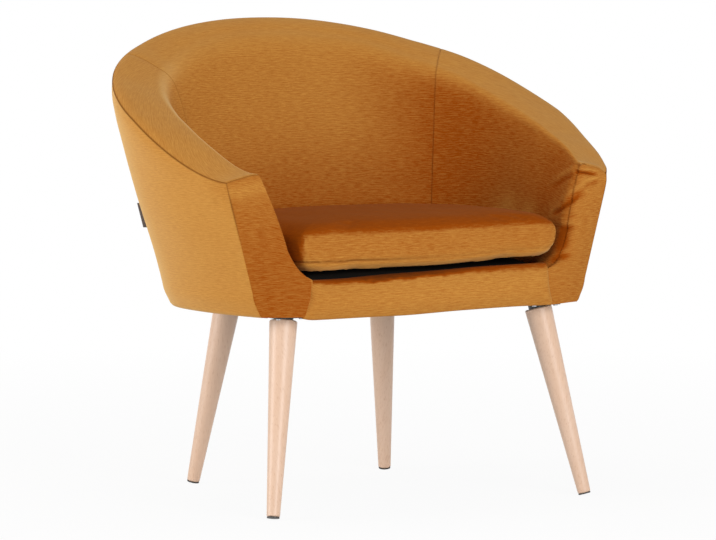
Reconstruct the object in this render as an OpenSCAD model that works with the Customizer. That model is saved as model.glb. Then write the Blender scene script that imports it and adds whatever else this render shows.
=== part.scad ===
// A low upholstered tub chair on four splayed legs, with a loose seat cushion.
// The floor is at zero, the sitter faces the front of the chair along -Y, and X points to the right in a
// view of the front. All sizes are in millimetres and all angles in degrees.

/* [Overall] */
// Height of the back, at the seam along its rim
back_h = 740; // [715:5:765]
// Height of the arms, at the seam of their front tips
arm_h = 507; // [495:1:520]
// Depth from the front of the cushion to the rim of the back
depth = 554; // [535:1:575]
// Height of the underside of the upholstery
bottom_h = 302; // [285:1:310]
// Rise from the underside to the widest line low on the outside, where the outside starts to lean
knee_rise = 36; // [30:1:43]
// How far the front of the arms lies behind the front of the chair
arm_set_back = 42; // [36:1:48]

/* [Outline] */
// Radius of the back, in plan
back_r = 436; // [420:2:450]
// Radius of the rear corners, in plan
corner_r = 218; // [208:1:228]
// Radius of the sides, in plan
side_r = 521; // [500:1:540]
// Direction in which the back arc meets the corner arc
back_turn = 29.1; // [27:0.1:31]
// Direction in which the corner arc meets the side arc
corner_turn = 85.9; // [84:0.1:88]
// Outward lean of the back
back_lean = 11.2; // [9:0.1:12.5]
// Outward lean of the arm fronts
side_lean = 15.9; // [14:0.1:17]
// How far the outside tucks in between the knee and the underside
tuck = 15.5; // [12:0.5:18]

/* [Wall] */
// Width of the rim band at the middle of the back
rim_back_w = 62; // [56:1:68]
// Width of the rim band at the sides
rim_side_w = 84; // [78:1:88]
// Width of the rim band at the arm tips
rim_tip_w = 64; // [60:1:70]
// Fall of the rim band towards the inside, at the back
rim_fall = 38; // [30:1:42]
// Rise of the rim band towards the inside, at the arm tips
rim_rise = 12; // [8:1:16]
// Softness of the crease between the rim band and the inside, at the back
crease_soft = 27; // [20:1:30]
// Softness of the same crease at the arm tips
tip_soft = 9; // [6:1:14]
// Crown of the rim band
rim_crown = 5; // [3:0.5:7]
// Thickness of the wall at seat level, at the back
seat_wall_back = 86; // [80:1:90]
// Thickness of the wall at seat level, in the arms
seat_wall_side = 72; // [70:1:76]
// Crown of the padding inside
inside_crown = 6; // [3:0.5:8]

/* [Fabric and boards] */
// Thickness of the velvet with its backing
velvet_t = 1.2; // [1:0.1:1.4]
// Thickness of the bent fibreboards
board_t = 3; // [2.5:0.1:3.5]
// Width of the plywood ribs and of the rim rail, through the wall
rib_w = 28; // [24:1:30]
// Thickness of the plywood ribs
rib_t = 15; // [12:1:18]
// Height of the rim rail
rail_h = 30; // [24:1:34]
// Thickness of the base ring
base_t = 18; // [15:1:19]
// Width of the base ring
ring_w = 92; // [90:1:98]

/* [Front] */
// Height of the front border, from the underside to the seat deck
border_h = 55; // [52:1:58]
// Crown of the seat deck
deck_crown = 12; // [9:1:13]
// Outward spread of the border seams towards the underside
border_spread = 12; // [8:1:15]
// Belly of the front border
border_belly = 12; // [8:1:13]
// How far the inner edge of the arm fronts comes forward at the deck
arm_toe = 26; // [23:1:27]
// Thickness of the plywood arm posts
post_t = 18; // [15:1:19]
// Thickness of the front rail
front_rail_t = 20; // [18:1:21]

/* [Cushion] */
// Height of the cushion at its crown, above its flat underside
cushion_h = 75; // [68:1:78]
// Height of the cushion's seam above its underside
cushion_seam_h = 15; // [12:1:17]
// Height of the cushion's rounded front edge above its underside
cushion_edge_h = 58; // [52:1:60]
// Gap between the cushion and the inside of the tub
cushion_gap = 5; // [4:0.5:8]
// The same gap at the tips of the arms
cushion_tip_gap = 2; // [1:0.5:6]
// Length that the zip slider travels
zip_run = 260; // [200:5:270]

/* [Legs] */
// Diameter of the legs at the top
leg_top_d = 42.6; // [40:0.2:44]
// Diameter of the legs at the foot
leg_foot_d = 20.3; // [18:0.1:24]
// Distance of the front legs' tops outwards from the end of the front border
front_leg_out = 16; // [11:1:19]
// Distance of the front legs' tops behind the arm fronts
front_leg_back = 29; // [25:1:33]
// Sideways splay of the front legs, over their height
front_splay_x = 52; // [44:1:56]
// Forward splay of the front legs, over their height
front_splay_y = 59; // [50:1:62]
// Distance of the rear legs' tops inwards from the knee
rear_leg_in = 44.7; // [42:0.1:48]
// Direction of the rear legs, round the hub of the back arc
rear_leg_turn = 21.3; // [20:0.1:22]
// Sideways splay of the rear legs, over their height
rear_splay_x = 37; // [30:1:44]
// Backward splay of the rear legs, over their height
rear_splay_y = 53; // [44:1:58]
// Side of the square steel leg plates
plate_w = 50; // [49:0.5:52]

/* [Hidden] */

velvet = [0.72, 0.43, 0.10];
beech = [0.90, 0.75, 0.60];
plywood = [0.80, 0.66, 0.46];
fibreboard = [0.52, 0.38, 0.25];
foam = [0.93, 0.90, 0.80];
black_cloth = [0.09, 0.09, 0.09];
black_steel = [0.10, 0.10, 0.11];
zinc = [0.70, 0.71, 0.72];
strap = [0.20, 0.20, 0.22];

// Clearance between pieces that seat on each other
fit = 0.3;
// Overrun of every cut through a face
cut = 1;
// Stations along half of the wall, from the middle of the back to an arm tip
steps = 20;
// Shares of that length where the outside panels and the inside panels are sewn together, where the rim
// rail of the back meets those of the arms, and where the frame stops behind the arm posts
outside_seam_share = 0.55;
inside_seam_share = 0.4;
rail_joint_share = 0.45;
frame_share = 0.95;
outside_seam = round(outside_seam_share * steps);
inside_seam = round(inside_seam_share * steps);
rail_joint = round(rail_joint_share * steps);
frame_end = round(frame_share * steps);
// How quickly the rim leaves its height at the back, and how softly it reaches the tips
rim_start_power = 2.13;
rim_end_power = 1.7;
round_fn = 48;

// Heights that the others follow
knee_h = bottom_h + knee_rise;
deck_h = bottom_h + border_h;

// Plan outline of the knee
front_y = -depth / 2;
arm_front_y = front_y + arm_set_back;
knee_back_y = depth / 2 - tan(back_lean) * (back_h - knee_h);
back_hub = [0, knee_back_y - back_r];
corner_hub = back_hub + (back_r - corner_r) * [sin(back_turn), cos(back_turn)];
side_hub = corner_hub + (corner_r - side_r) * [sin(corner_turn), cos(corner_turn)];
side_turn = acos((arm_front_y - side_hub[1]) / side_r);
back_len = back_r * back_turn * PI / 180;
corner_len = corner_r * (corner_turn - back_turn) * PI / 180;
side_len = side_r * (side_turn - corner_turn) * PI / 180;
outline_len = back_len + corner_len + side_len;
tip_pull = -cos(side_turn);
tip_pull_power = 4;

// Heights of the layers of the base
hem_w = 7;
dust_t = 1;
dust_bottom = bottom_h - dust_t;
ring_bottom = bottom_h + velvet_t + fit;
ring_top = ring_bottom + base_t;
ring_edge = tuck + velvet_t + 2 * fit;
rail_padding = 7.5;
front_rail_h = deck_h - rail_padding - ring_top;

// Depths of the layers of the wall, from the outside
outer_board_in = velvet_t + 2 * fit;
rib_in = outer_board_in + board_t + 3 * fit;
inner_board_in = rib_in + rib_w + fit;
foam_in = inner_board_in + board_t + fit;
rim_foam = 8;
tip_top_h = arm_h + rim_rise;
flare_h = 48;
flare_w = 24;
flare_power = 1.9;
seam_bend_h = knee_h + fit;
seam_bend_power = 1.5;
tuck_power = 1.6;

// Depths of the frame's pieces at the front
frame_ends = [for (z = [bottom_h, knee_h, arm_h]) each [for (in = [0, seat_wall_side])
    place(frame_share, [outer_off(frame_share, z) - in, z])[1]]];
post_back_y = min(frame_ends) - fit;
post_front_y = post_back_y - post_t;
rail_back_y = post_front_y - fit;
rail_front_y = rail_back_y - front_rail_t;
arm_pad_t = 4;
ring_arm_y = arm_front_y + arm_pad_t;

function reversed(list) = [for (i = [len(list) - 1:-1:0]) list[i]];
function share(a, b, k) = a + (b - a) * k;
function clamp(v) = min(1, max(0, v));
function ease(a, b, v) = let (k = clamp((v - a) / (b - a))) k * k * (3 - 2 * k);
function unit(v) = v / norm(v);

// Point and outward direction of the knee outline, by its share from the back to an arm tip
function turn_at(a) =
    let (run = a * outline_len)
    run < back_len ? run / back_r * 180 / PI
    : run < back_len + corner_len ? back_turn + (run - back_len) / corner_r * 180 / PI
    : corner_turn + (run - back_len - corner_len) / side_r * 180 / PI;
function hub_at(turn) = turn < back_turn ? back_hub : turn < corner_turn ? corner_hub : side_hub;
function radius_at(turn) = turn < back_turn ? back_r : turn < corner_turn ? corner_r : side_r;
function outward(a) =
    let (turn = turn_at(a))
    [sin(turn), cos(turn) + tip_pull * pow(a, tip_pull_power)];
function knee_point(a) =
    let (turn = turn_at(a))
    hub_at(turn) + radius_at(turn) * [sin(turn), cos(turn)];

// Heights and offsets of the wall's surfaces, by the same share
function lean(a) = share(tan(back_lean), tan(side_lean), a);
function rim_z(a) = arm_h + (back_h - arm_h) * pow(1 - pow(a, rim_start_power), rim_end_power);
function rim_w(a) =
    share(rim_back_w, rim_side_w, ease(0.15, 0.62, a)) - (rim_side_w - rim_tip_w) * ease(0.65, 1, a);
function rim_dz(a) = share(-rim_fall, rim_rise, ease(0.3, 0.9, a));
function crease_z(a) = rim_z(a) + rim_dz(a);
function outer_off(a, z) =
    z >= knee_h ? lean(a) * (z - knee_h)
    : -tuck * pow((knee_h - z) / (knee_h - bottom_h), tuck_power);
function flare(a, z) =
    flare_w * pow(clamp((deck_h + flare_h - z) / flare_h), flare_power) * ease(0.8, 1, a);
function wall_at(a, z) =
    let (
        k = clamp((z - deck_h) / (crease_z(a) - deck_h)),
        low = share(seat_wall_back, seat_wall_side, ease(0.25, 0.6, a))
    )
    share(low, rim_w(a), k) + inside_crown * sin(180 * k) + flare(a, z);
function inner_off(a, z) = lean(a) * (z - knee_h) - wall_at(a, z);

// A point of the wall at station share s, an offset out from the knee outline and a height
function toe(a, q) =
    arm_toe * clamp((tip_top_h - q[1]) / (tip_top_h - deck_h)) * ease(frame_share, 1, a)
    * clamp((outer_off(a, q[1]) - q[0]) / wall_at(a, q[1]));
function place(s, q) =
    let (a = abs(s), p = knee_point(a) + outward(a) * q[0])
    [s < 0 ? -p[0] : p[0], p[1] - toe(a, q), q[1]];

// A path moved into the wall by a depth
sharp_turn_share = 0.6;
function path_turn(path, i) =
    let (
        last = len(path) - 1,
        before = unit(path[max(i, 1)] - path[max(i, 1) - 1]),
        after = unit(path[min(i, last - 1) + 1] - path[min(i, last - 1)]),
        side = unit([-before[1] - after[1], before[0] + after[0]])
    )
    side / max(sharp_turn_share, side * [-before[1], before[0]]);
function inset(path, in) = [for (i = [0:len(path) - 1]) path[i] + in * path_turn(path, i)];

// Finished surface of the outside, from the hem to the rim seam
hem_shares = [0, 0.3, 0.65, 1];
side_shares = [0.12, 0.4, 0.7, 1];
function outside_path(a) =
    let (top = rim_z(a) - velvet_t - fit)
    concat(
        [[-tuck - hem_w, bottom_h]],
        [for (k = hem_shares) let (z = share(bottom_h, knee_h, k)) [outer_off(a, z), z]],
        [for (k = side_shares) let (z = share(knee_h, top, k)) [outer_off(a, z), z]]
    );

// Finished surface of the inside, from the rim seam over the rim and down to the deck
edge_round = 6;
edge_round_share = 0.8;
crown_share = 0.4;
bend_shares = [0, 0.3, 0.65, 1];
function soft_at(a) = share(crease_soft, tip_soft, ease(0.45, 1, a));
face_shares = [0.8, 0.55, 0.3, 0.12, 0];
cover_tail = 25;
function inside_path(a) =
    let (
        seam = [outer_off(a, rim_z(a)), rim_z(a)],
        crease = [inner_off(a, crease_z(a)), crease_z(a)],
        lift = [0, rim_crown],
        in = share(crease, seam, soft_at(a) / rim_w(a)) + lift / 2,
        low_z = crease_z(a) - soft_at(a),
        low = [inner_off(a, low_z), low_z]
    )
    concat(
        [seam, seam + [-edge_round, edge_round * edge_round_share + rim_dz(a) * edge_round / rim_w(a)]],
        [share(seam, crease, crown_share) + lift],
        [for (k = bend_shares) share(share(in, crease + lift / 2, k), share(crease + lift / 2, low, k), k)],
        [for (k = face_shares) let (z = share(deck_h, low_z, k)) [inner_off(a, z), z]],
        [[inner_off(a, deck_h), deck_h - cover_tail]]
    );

function rows(from, to, path) =
    [for (i = [from:to]) [for (q = path(abs(i) / steps)) place(i / steps, q)]];

// A closed piece between two grids of points: the first is the side that faces out
function two(p, q, r, s) = [[p, q, r], [p, r, s]];
module panel(face, back) {
    m = len(face);
    n = len(face[0]);
    points = concat([for (row = face) each row], [for (row = back) each row]);
    other = m * n;
    faces = [
        for (i = [0:m - 2]) each [
            for (j = [0:n - 2]) let (p = i * n + j, q = p + n)
            each concat(
                two(p, q, q + 1, p + 1),
                two(other + p, other + p + 1, other + q + 1, other + q)
            )
        ],
        for (i = [0:m - 2]) let (p = i * n, q = p + n)
        each concat(
            two(q, p, other + p, other + q),
            two(p + n - 1, q + n - 1, other + q + n - 1, other + p + n - 1)
        ),
        for (j = [0:n - 2]) let (p = j, q = (m - 1) * n + j)
        each concat(
            two(p, p + 1, other + p + 1, other + p),
            two(q + 1, q, other + q, other + q + 1)
        )
    ];
    polyhedron(points = points, faces = faces, convexity = 6);
}

// A closed piece of rings that run counter-clockwise from above, between two end points
module stack(rings, start, end) {
    m = len(rings);
    n = len(rings[0]);
    points = concat([for (ring = rings) each ring], [start, end]);
    faces = [
        for (i = [0:m - 2]) each [
            for (j = [0:n - 1]) let (k = (j + 1) % n)
            each two(i * n + j, (i + 1) * n + j, (i + 1) * n + k, i * n + k)
        ],
        for (j = [0:n - 1]) let (k = (j + 1) % n) each [
            [m * n, j, k],
            [m * n + 1, (m - 1) * n + k, (m - 1) * n + j]
        ]
    ];
    polyhedron(points = points, faces = faces, convexity = 6);
}

// Outside panels of velvet
module outside_panel(from, to) {
    face = function (a) outside_path(a);
    back = function (a) inset(outside_path(a), velvet_t);
    color(velvet) panel(rows(from, to, face), rows(from, to, back));
}
module outside_cover_back() { outside_panel(-outside_seam, outside_seam); }
module outside_cover_left() { outside_panel(-steps, -outside_seam); }
module outside_cover_right() { outside_panel(outside_seam, steps); }

// Inside panels of velvet, which run over the rim to its outer seam
module inside_panel(from, to) {
    face = function (a) inside_path(a);
    back = function (a) inset(inside_path(a), velvet_t);
    color(velvet) panel(rows(from, to, face), rows(from, to, back));
}
module inside_cover_back() { inside_panel(-inside_seam, inside_seam); }
module inside_cover_left() { inside_panel(-steps, -inside_seam); }
module inside_cover_right() { inside_panel(inside_seam, steps); }

// Rim rail under the rim band, lower where the band falls to the inside
function rail_top(a) = rim_z(a) - rim_foam + min(0, rim_dz(a)) * (rib_in + rib_w + board_t) / rim_w(a);
function wall_in(a, z, in) = [outer_off(a, z) - in, z];
module rim_rail(from, to) {
    face = function (a) [
        wall_in(a, rail_top(a) - rail_h, rib_in),
        wall_in(a, rail_top(a), rib_in)
    ];
    back = function (a) [
        wall_in(a, rail_top(a) - rail_h, rib_in + rib_w),
        wall_in(a, rail_top(a), rib_in + rib_w)
    ];
    color(plywood) panel(rows(from, to, face), rows(from, to, back));
}
module rim_rail_back() { rim_rail(-rail_joint, rail_joint); }
module rim_rail_left() { rim_rail(-frame_end, -rail_joint); }
module rim_rail_right() { rim_rail(rail_joint, frame_end); }

// Ribs that stand on the base ring and carry the rim rail
rib_shares = [-0.8, -0.6, -0.4, -0.2, 0, 0.2, 0.4, 0.6, 0.8];
module wall_rib(s) {
    a = abs(s);
    way = outward(a);
    fall = abs(rail_top(min(a + 1 / steps, 1)) - rail_top(max(a - 1 / steps, 0)));
    slope = fall / (2 * outline_len / steps);
    top = rail_top(a) - rail_h - fit - slope * rib_t / 2;
    low = ring_top;
    mid = knee_h;
    foot = knee_point(a);
    skew = rib_t / 2 * tip_pull * pow(a, tip_pull_power);
    out = -rib_in - skew;
    in = -rib_in - rib_w + skew;
    outline = [for (q = [
        [-ring_edge - 4 * fit, low],
        [out, mid],
        [outer_off(a, top) + out, top],
        [outer_off(a, top) + in, top],
        [in, mid],
        [in, low]
    ]) [q[0] * norm(way), q[1]]];
    mirror([s < 0 ? 1 : 0, 0, 0])
        translate([foot[0], foot[1], 0])
            rotate([90, 0, atan2(way[1], way[0])])
                translate([0, 0, -rib_t / 2])
                    linear_extrude(height = rib_t) polygon(outline);
}
module wall_ribs() {
    color(plywood) for (s = rib_shares) wall_rib(s);
}

// Bent boards on both sides of the ribs
board_shares = [0, 0.5, 1];
module outer_board(from, to) {
    heights = function (a) [for (k = board_shares) share(knee_h, rail_top(a), k)];
    face = function (a) [for (z = heights(a)) wall_in(a, z, outer_board_in)];
    back = function (a) [for (z = heights(a)) wall_in(a, z, outer_board_in + board_t)];
    color(fibreboard) panel(rows(from, to, face), rows(from, to, back));
}
module outer_board_back() { outer_board(-outside_seam, outside_seam); }
module outer_board_left() { outer_board(-frame_end, -outside_seam); }
module outer_board_right() { outer_board(outside_seam, frame_end); }
module inner_board() {
    heights = function (a) [for (k = reversed(board_shares)) share(deck_h - cover_tail, rail_top(a), k)];
    face = function (a) [for (z = heights(a)) [lean(a) * (z - knee_h) - inner_board_in - board_t, z]];
    back = function (a) [for (z = heights(a)) [lean(a) * (z - knee_h) - inner_board_in, z]];
    color(fibreboard)
        panel(rows(-frame_end, frame_end, face), rows(-frame_end, frame_end, back));
}

// Foam of the wall, from the deck up the inside and over the rim rail
over_rail_shares = [0, 0.15, 0.5, 0.85, 1];
down_board_shares = [0.04, 0.08, 0.3, 0.5, 0.65, 0.8, 0.92, 1];
module wall_foam(from, to) {
    face = function (a)
        let (path = inset(inside_path(a), velvet_t + fit), edge = velvet_t + 2 * fit)
        [for (i = [0:len(path) - 1]) i > 0 ? path[i] : [outer_off(a, rim_z(a)) - edge, rim_z(a) - edge]];
    back = function (a)
        let (
            top = rail_top(a) + 2 * fit,
            low = deck_h - cover_tail,
            out = outer_off(a, top) - outer_board_in - board_t,
            in = lean(a) * (top - knee_h) - foam_in
        )
        concat(
            [for (k = over_rail_shares) [share(out, in, k), top]],
            [for (k = down_board_shares) let (z = share(top, low, k)) [lean(a) * (z - knee_h) - foam_in, z]]
        );
    color(foam) panel(rows(from, to, face), rows(from, to, back));
}
module back_foam() { wall_foam(-inside_seam, inside_seam); }
module arm_foam_left() { wall_foam(-frame_end, -inside_seam); }
module arm_foam_right() { wall_foam(inside_seam, frame_end); }

// Soft strip that rounds the lower edge of the wall, on the edge of the base ring
module base_padding() {
    outside = [ring_bottom, for (i = [1, 2]) share(bottom_h, knee_h, hem_shares[i]), knee_h - fit];
    inside = [ring_bottom, ring_top, (ring_top + knee_h) / 2, knee_h - fit];
    face = function (a) [for (z = outside) [outer_off(a, z) - velvet_t - 3 * fit, z]];
    back = function (a) [for (z = inside)
        [share(-ring_edge + fit, -rib_in + 3 * fit, clamp((z - ring_top) / (knee_h - ring_top))), z]];
    color(foam) panel(rows(-frame_end, frame_end, face), rows(-frame_end, frame_end, back));
}

// Front faces of the arms, by shares up from the underside and in from the outer edge
face_up_shares = [0, 0.09, 0.17, 0.23, 0.27, 0.33, 0.4, 0.5, 0.65, 0.8, 0.92, 1];
face_in_shares = [0, 0.08, 0.3, 0.55, 0.8, 0.93, 1];
arm_crown = 5;
border_lap = 1;
border_half_w = side_x(inner_off(1, deck_h)) + border_lap;
function side_x(off) = knee_point(1)[0] + outward(1)[0] * off;
function border_x(z) =
    border_half_w + border_spread * pow(clamp((seam_bend_h - z) / (seam_bend_h - bottom_h)), seam_bend_power);
tip_low_z = crease_z(1) - tip_soft;
tip_path = [for (q = inside_path(1)) if (q[1] > tip_low_z - fit) [side_x(q[0]), q[1]]];
function tip_z(x) = lookup(x, tip_path);
function arm_out_x(z) = side_x(outer_off(1, min(z, arm_h)));
function arm_in_x(z) = z < deck_h ? border_x(z) : side_x(inner_off(1, min(z, tip_low_z)));
function arm_face(up, in, rim, lift) =
    let (
        tip_x = share(tip_path[0][0] - rim, tip_path[len(tip_path) - 1][0] + rim, in),
        z = share(bottom_h + rim, tip_z(tip_x) - rim, up),
        toe_in = arm_toe * in * clamp((tip_top_h - z) / (tip_top_h - deck_h)),
        bulge = arm_crown * sin(180 * in) * sin(180 * clamp(up))
    )
    [share(arm_out_x(z) - rim, arm_in_x(z) + rim, in), arm_front_y - toe_in - bulge + lift, z];
// The cover's lower edge turns in under the arm, clear of the hem of the outside panel
module arm_front_cover() {
    path = function (in, lift, low)
        let (face = [for (up = face_up_shares) arm_face(up, in, 0, lift)], first = face[0] + [0, 0, low])
        concat(
            [[first[0], in < face_in_shares[2] ? first[1] + fit : arm_front_y + hem_w, first[2]], first],
            [for (i = [1:len(face) - 1]) face[i]]
        );
    face = [for (in = face_in_shares) path(in, -velvet_t - fit, 0)];
    back = [for (in = face_in_shares) path(in, -fit, velvet_t)];
    color(velvet) panel(face, back);
}
module arm_front_cover_right() { arm_front_cover(); }
module arm_front_cover_left() { mirror([1, 0, 0]) arm_front_cover(); }
// Reach of the wall outwards or inwards at the front of the posts, at a height
function post_front_x(off, tip_off, z) =
    let (p = place(frame_share, [off, z]), q = place(1, [tip_off, z]))
    share(q[0], p[0], (post_front_y - q[1]) / (p[1] - q[1]));
module arm_front_pad() {
    rim = velvet_t + 6 * fit;
    room = rim + pad_margin;
    heights = [ring_top + fit, ring_top + 2 * fit];
    ups = function (in)
        let (low = arm_face(0, in, rim, 0)[2], high = arm_face(1, in, rim, 0)[2])
        concat(
            [0],
            [for (z = heights) (z - low) / (high - low)],
            [for (i = [2:len(face_up_shares) - 1]) face_up_shares[i]]
        );
    face = [for (in = face_in_shares) [for (up = ups(in)) arm_face(up, in, rim, 3 * fit)]];
    back = [for (in = face_in_shares) [for (up = ups(in))
        let (
            z = arm_face(up, in, rim, 0)[2],
            out_x = arm_face(up, 0, rim, 0)[0],
            in_x = arm_face(up, 1, rim, 0)[0],
            far_x = post_front_x(outer_off(frame_share, z), outer_off(1, z), z) - room,
            near_z = max(z, deck_h),
            near_x = post_front_x(inner_off(frame_share, near_z), inner_off(1, near_z), z) + room
        )
        [
            share(min(out_x, far_x), z < deck_h - cover_tail ? in_x : max(in_x, near_x), in),
            z < heights[1] - fit / 2 ? ring_arm_y - fit : post_front_y - fit,
            z
        ]]];
    color(foam) panel(face, back);
}
module arm_front_pad_right() { arm_front_pad(); }
module arm_front_pad_left() { mirror([1, 0, 0]) arm_front_pad(); }

// Plywood posts behind the arm fronts
post_margin = 4;
post_foot = 22;
pad_margin = 1.5;
post_up_shares = [0, 0.15, 0.3, 0.45, 0.57, 0.69, 0.82, 1];
foot_top = deck_h - cover_tail - 2 * fit;
foot_x = border_half_w - post_foot;
function wall_x(z, a) = place(a, [inner_off(a, max(z, deck_h)), z])[0];
module arm_post() {
    top = arm_h - rim_foam;
    outside = [for (k = post_up_shares) let (z = share(ring_top, top, k))
        [side_x(outer_off(1, z)) - post_margin - velvet_t, z]];
    inside = [for (k = post_up_shares) let (z = share(top, foot_top, k))
        [max(wall_x(z, frame_share), wall_x(z, 1)) + post_margin, z]];
    foot = [[foot_x, foot_top], [foot_x, ring_top]];
    color(plywood)
        translate([0, post_back_y, 0])
            rotate([90, 0, 0])
                linear_extrude(height = post_t) polygon(concat(inside, foot, outside));
}
module arm_post_right() { arm_post(); }
module arm_post_left() { mirror([1, 0, 0]) arm_post(); }

// Front rail across the posts, and the padded border in front of it
module front_rail() {
    color(plywood)
        translate([-border_half_w + post_margin, rail_front_y, ring_top])
            cube([2 * (border_half_w - post_margin), front_rail_t, front_rail_h]);
}
border_up_shares = [0, 0.12, 0.3, 0.5, 0.7, 0.88, 1];
border_across_shares = [-1, -0.9, -0.6, -0.3, 0, 0.3, 0.6, 0.9, 1];
border_bow = 3;
border_power = 0.8;
border_seam_y = arm_front_y - arm_toe;
function border_y(k, across) =
    border_seam_y - border_belly * pow(sin(180 * k), border_power) - border_bow * (1 - across * across);
function border_face(across, rim, lift) = [
    for (k = border_up_shares)
    let (z = share(bottom_h + rim, deck_h - rim, k))
    [across * (border_x(z) - rim - fit), border_y(k, across) + lift, z]
];
border_tail = 10;
module border_cover() {
    path = function (across, rim)
        let (face = border_face(across, rim, rim), last = len(face) - 1)
        concat(
            [[face[0][0], face[0][1] + border_tail, face[0][2]]],
            face,
            [[face[last][0], face[last][1] + border_tail, face[last][2]]]
        );
    face = [for (across = border_across_shares) path(across, 0)];
    back = [for (across = border_across_shares) path(across, velvet_t)];
    color(velvet) panel(back, face);
}
module border_foam() {
    rim = velvet_t + fit;
    face = [for (across = border_across_shares) border_face(across, rim, rim)];
    back = [for (row = face) [for (p = row) [p[0], rail_front_y - fit, p[2]]]];
    color(foam) panel(back, face);
}

// Base ring of plywood with its opening under the seat
function ring_outline(off, end) =
    [for (i = [-end:end]) let (p = place(i / steps, [off, bottom_h])) [p[0], p[1]]];
module base_outline(off, arm_y, front, step_x) {
    side = [for (p = ring_outline(off, steps)) if (p[1] > post_front_y) p];
    right = [[side_x(off), post_front_y], [side_x(off), arm_y], [step_x, arm_y], [step_x, front]];
    left = [for (i = [3:-1:0]) [-right[i][0], right[i][1]]];
    polygon(concat(side, right, left));
}
opening_share = 0.8;
module ring_opening() {
    inner = ring_outline(-ring_edge - ring_w, round(opening_share * steps));
    last = inner[len(inner) - 1];
    polygon(concat(inner, [[last[0], rail_front_y + ring_w], [-last[0], rail_front_y + ring_w]]));
}
module base_ring() {
    color(plywood)
        difference() {
            translate([0, 0, ring_bottom])
                linear_extrude(height = base_t)
                    difference() {
                        base_outline(-ring_edge, ring_arm_y, rail_front_y, border_half_w - post_margin);
                        ring_opening();
                    }
            for (leg = legs) at_leg(leg) {
                translate([0, 0, ring_bottom - cut])
                    cylinder(r = bolt_room_r, h = base_t + 2 * cut, $fn = round_fn);
                screw_places(leg)
                    translate([0, 0, ring_bottom - cut])
                        cylinder(r = screw_r + play, h = screw_l + cut, $fn = round_fn);
            }
        }
}
block_side = 40;
module block_pair(room) {
    right = foot_x - fit + room;
    for (turn = [0, 1]) mirror([turn, 0, 0])
        translate([0, rail_back_y + fit - room, ring_top])
            linear_extrude(height = front_rail_h + room)
                polygon([[right - block_side - 3 * room, 0], [right, 0], [right, block_side + 3 * room]]);
}
module corner_blocks() {
    color(beech) block_pair(0);
}

// Straps interlaced over the opening of the base ring
strap_w = 50;
strap_t = 1.4;
strap_pitch = 78;
strap_side = 2;
strap_flat = strap_w / 2 + strap_side;
strap_step = strap_t + fit;
// Places of the straps, as shares of their pitch
across_shares = [-1, 0, 1];
along_shares = [-1.5, -0.5, 0.5, 1.5];
strap_lap = 20;
strap_parts = 48;
opening_front_y = rail_front_y + ring_w;
opening_back_y = knee_back_y - ring_edge - ring_w;
opening_mid_y = (opening_front_y + opening_back_y) / 2;
// Rise of a strap over the crossings where it lies on top
function strap_lift(d) =
    clamp((strap_pitch - strap_flat - abs(d)) / (strap_pitch - 2 * strap_flat));
function strap_rise(x, crossings, odd) = strap_step * max([
    for (j = [0:len(crossings) - 1]) (j + odd) % 2 == 0 ? strap_lift(x - crossings[j] * strap_pitch) : 0
]);
module woven_strap(from, to, crossings, odd) {
    stops = [for (i = [0:strap_parts]) share(from, to, i / strap_parts)];
    under = [for (x = stops) [x, strap_rise(x, crossings, odd)]];
    over = [for (i = [strap_parts:-1:0]) under[i] + [0, strap_t]];
    translate([0, strap_w / 2, ring_top])
        rotate([90, 0, 0])
            linear_extrude(height = strap_w) polygon(concat(under, over));
}
module webbing_across() {
    edge = [for (i = [0:steps]) place(i / steps, [-ring_edge - ring_w, bottom_h])];
    half = lookup(-opening_mid_y - strap_pitch, [for (p = edge) [-p[1], p[0]]]) + strap_lap;
    color(strap)
        for (j = [0:len(across_shares) - 1])
            translate([0, opening_mid_y + across_shares[j] * strap_pitch, 0])
                woven_strap(-half, half, along_shares, j);
}
module webbing_along() {
    color(strap)
        for (j = [0:len(along_shares) - 1]) {
            x = along_shares[j] * strap_pitch;
            back = back_hub[1] + sqrt(pow(back_r - ring_edge - ring_w, 2) - pow(abs(x) - strap_w / 2, 2));
            translate([x, opening_mid_y, 0])
                rotate([0, 0, 90])
                    woven_strap(
                        opening_front_y - strap_lap - opening_mid_y,
                        back + strap_lap - opening_mid_y,
                        across_shares, j + 1
                    );
        }
}

// Seat deck: foam on the webbing, under a black cloth
deck_half_w = border_half_w - 2 * fit;
deck_across_shares = [-0.9, -0.6, -0.3, 0, 0.3, 0.6, 0.9];
function deck_edge(gap, front) =
    let (
        off = [for (i = [0:frame_end]) inner_off(i / steps, deck_h) - gap],
        side = [for (i = [frame_end:-1:-frame_end]) place(i / steps, [off[abs(i)], deck_h])],
        turn = post_back_y + fit
    )
    concat(
        [for (p = side) if (p[1] > turn) [p[0], p[1]]],
        [[-deck_half_w, turn], [-deck_half_w, front]],
        [for (k = deck_across_shares) [k * deck_half_w, front]],
        [[deck_half_w, front], [deck_half_w, turn]]
    );
deck_mid = [0, (post_back_y + knee_back_y) / 2 - seat_wall_back / 2];
function scaled(edge, middle, k, z) =
    [for (p = edge) let (q = share(middle, p, k)) [q[0], q[1], z]];
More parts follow.
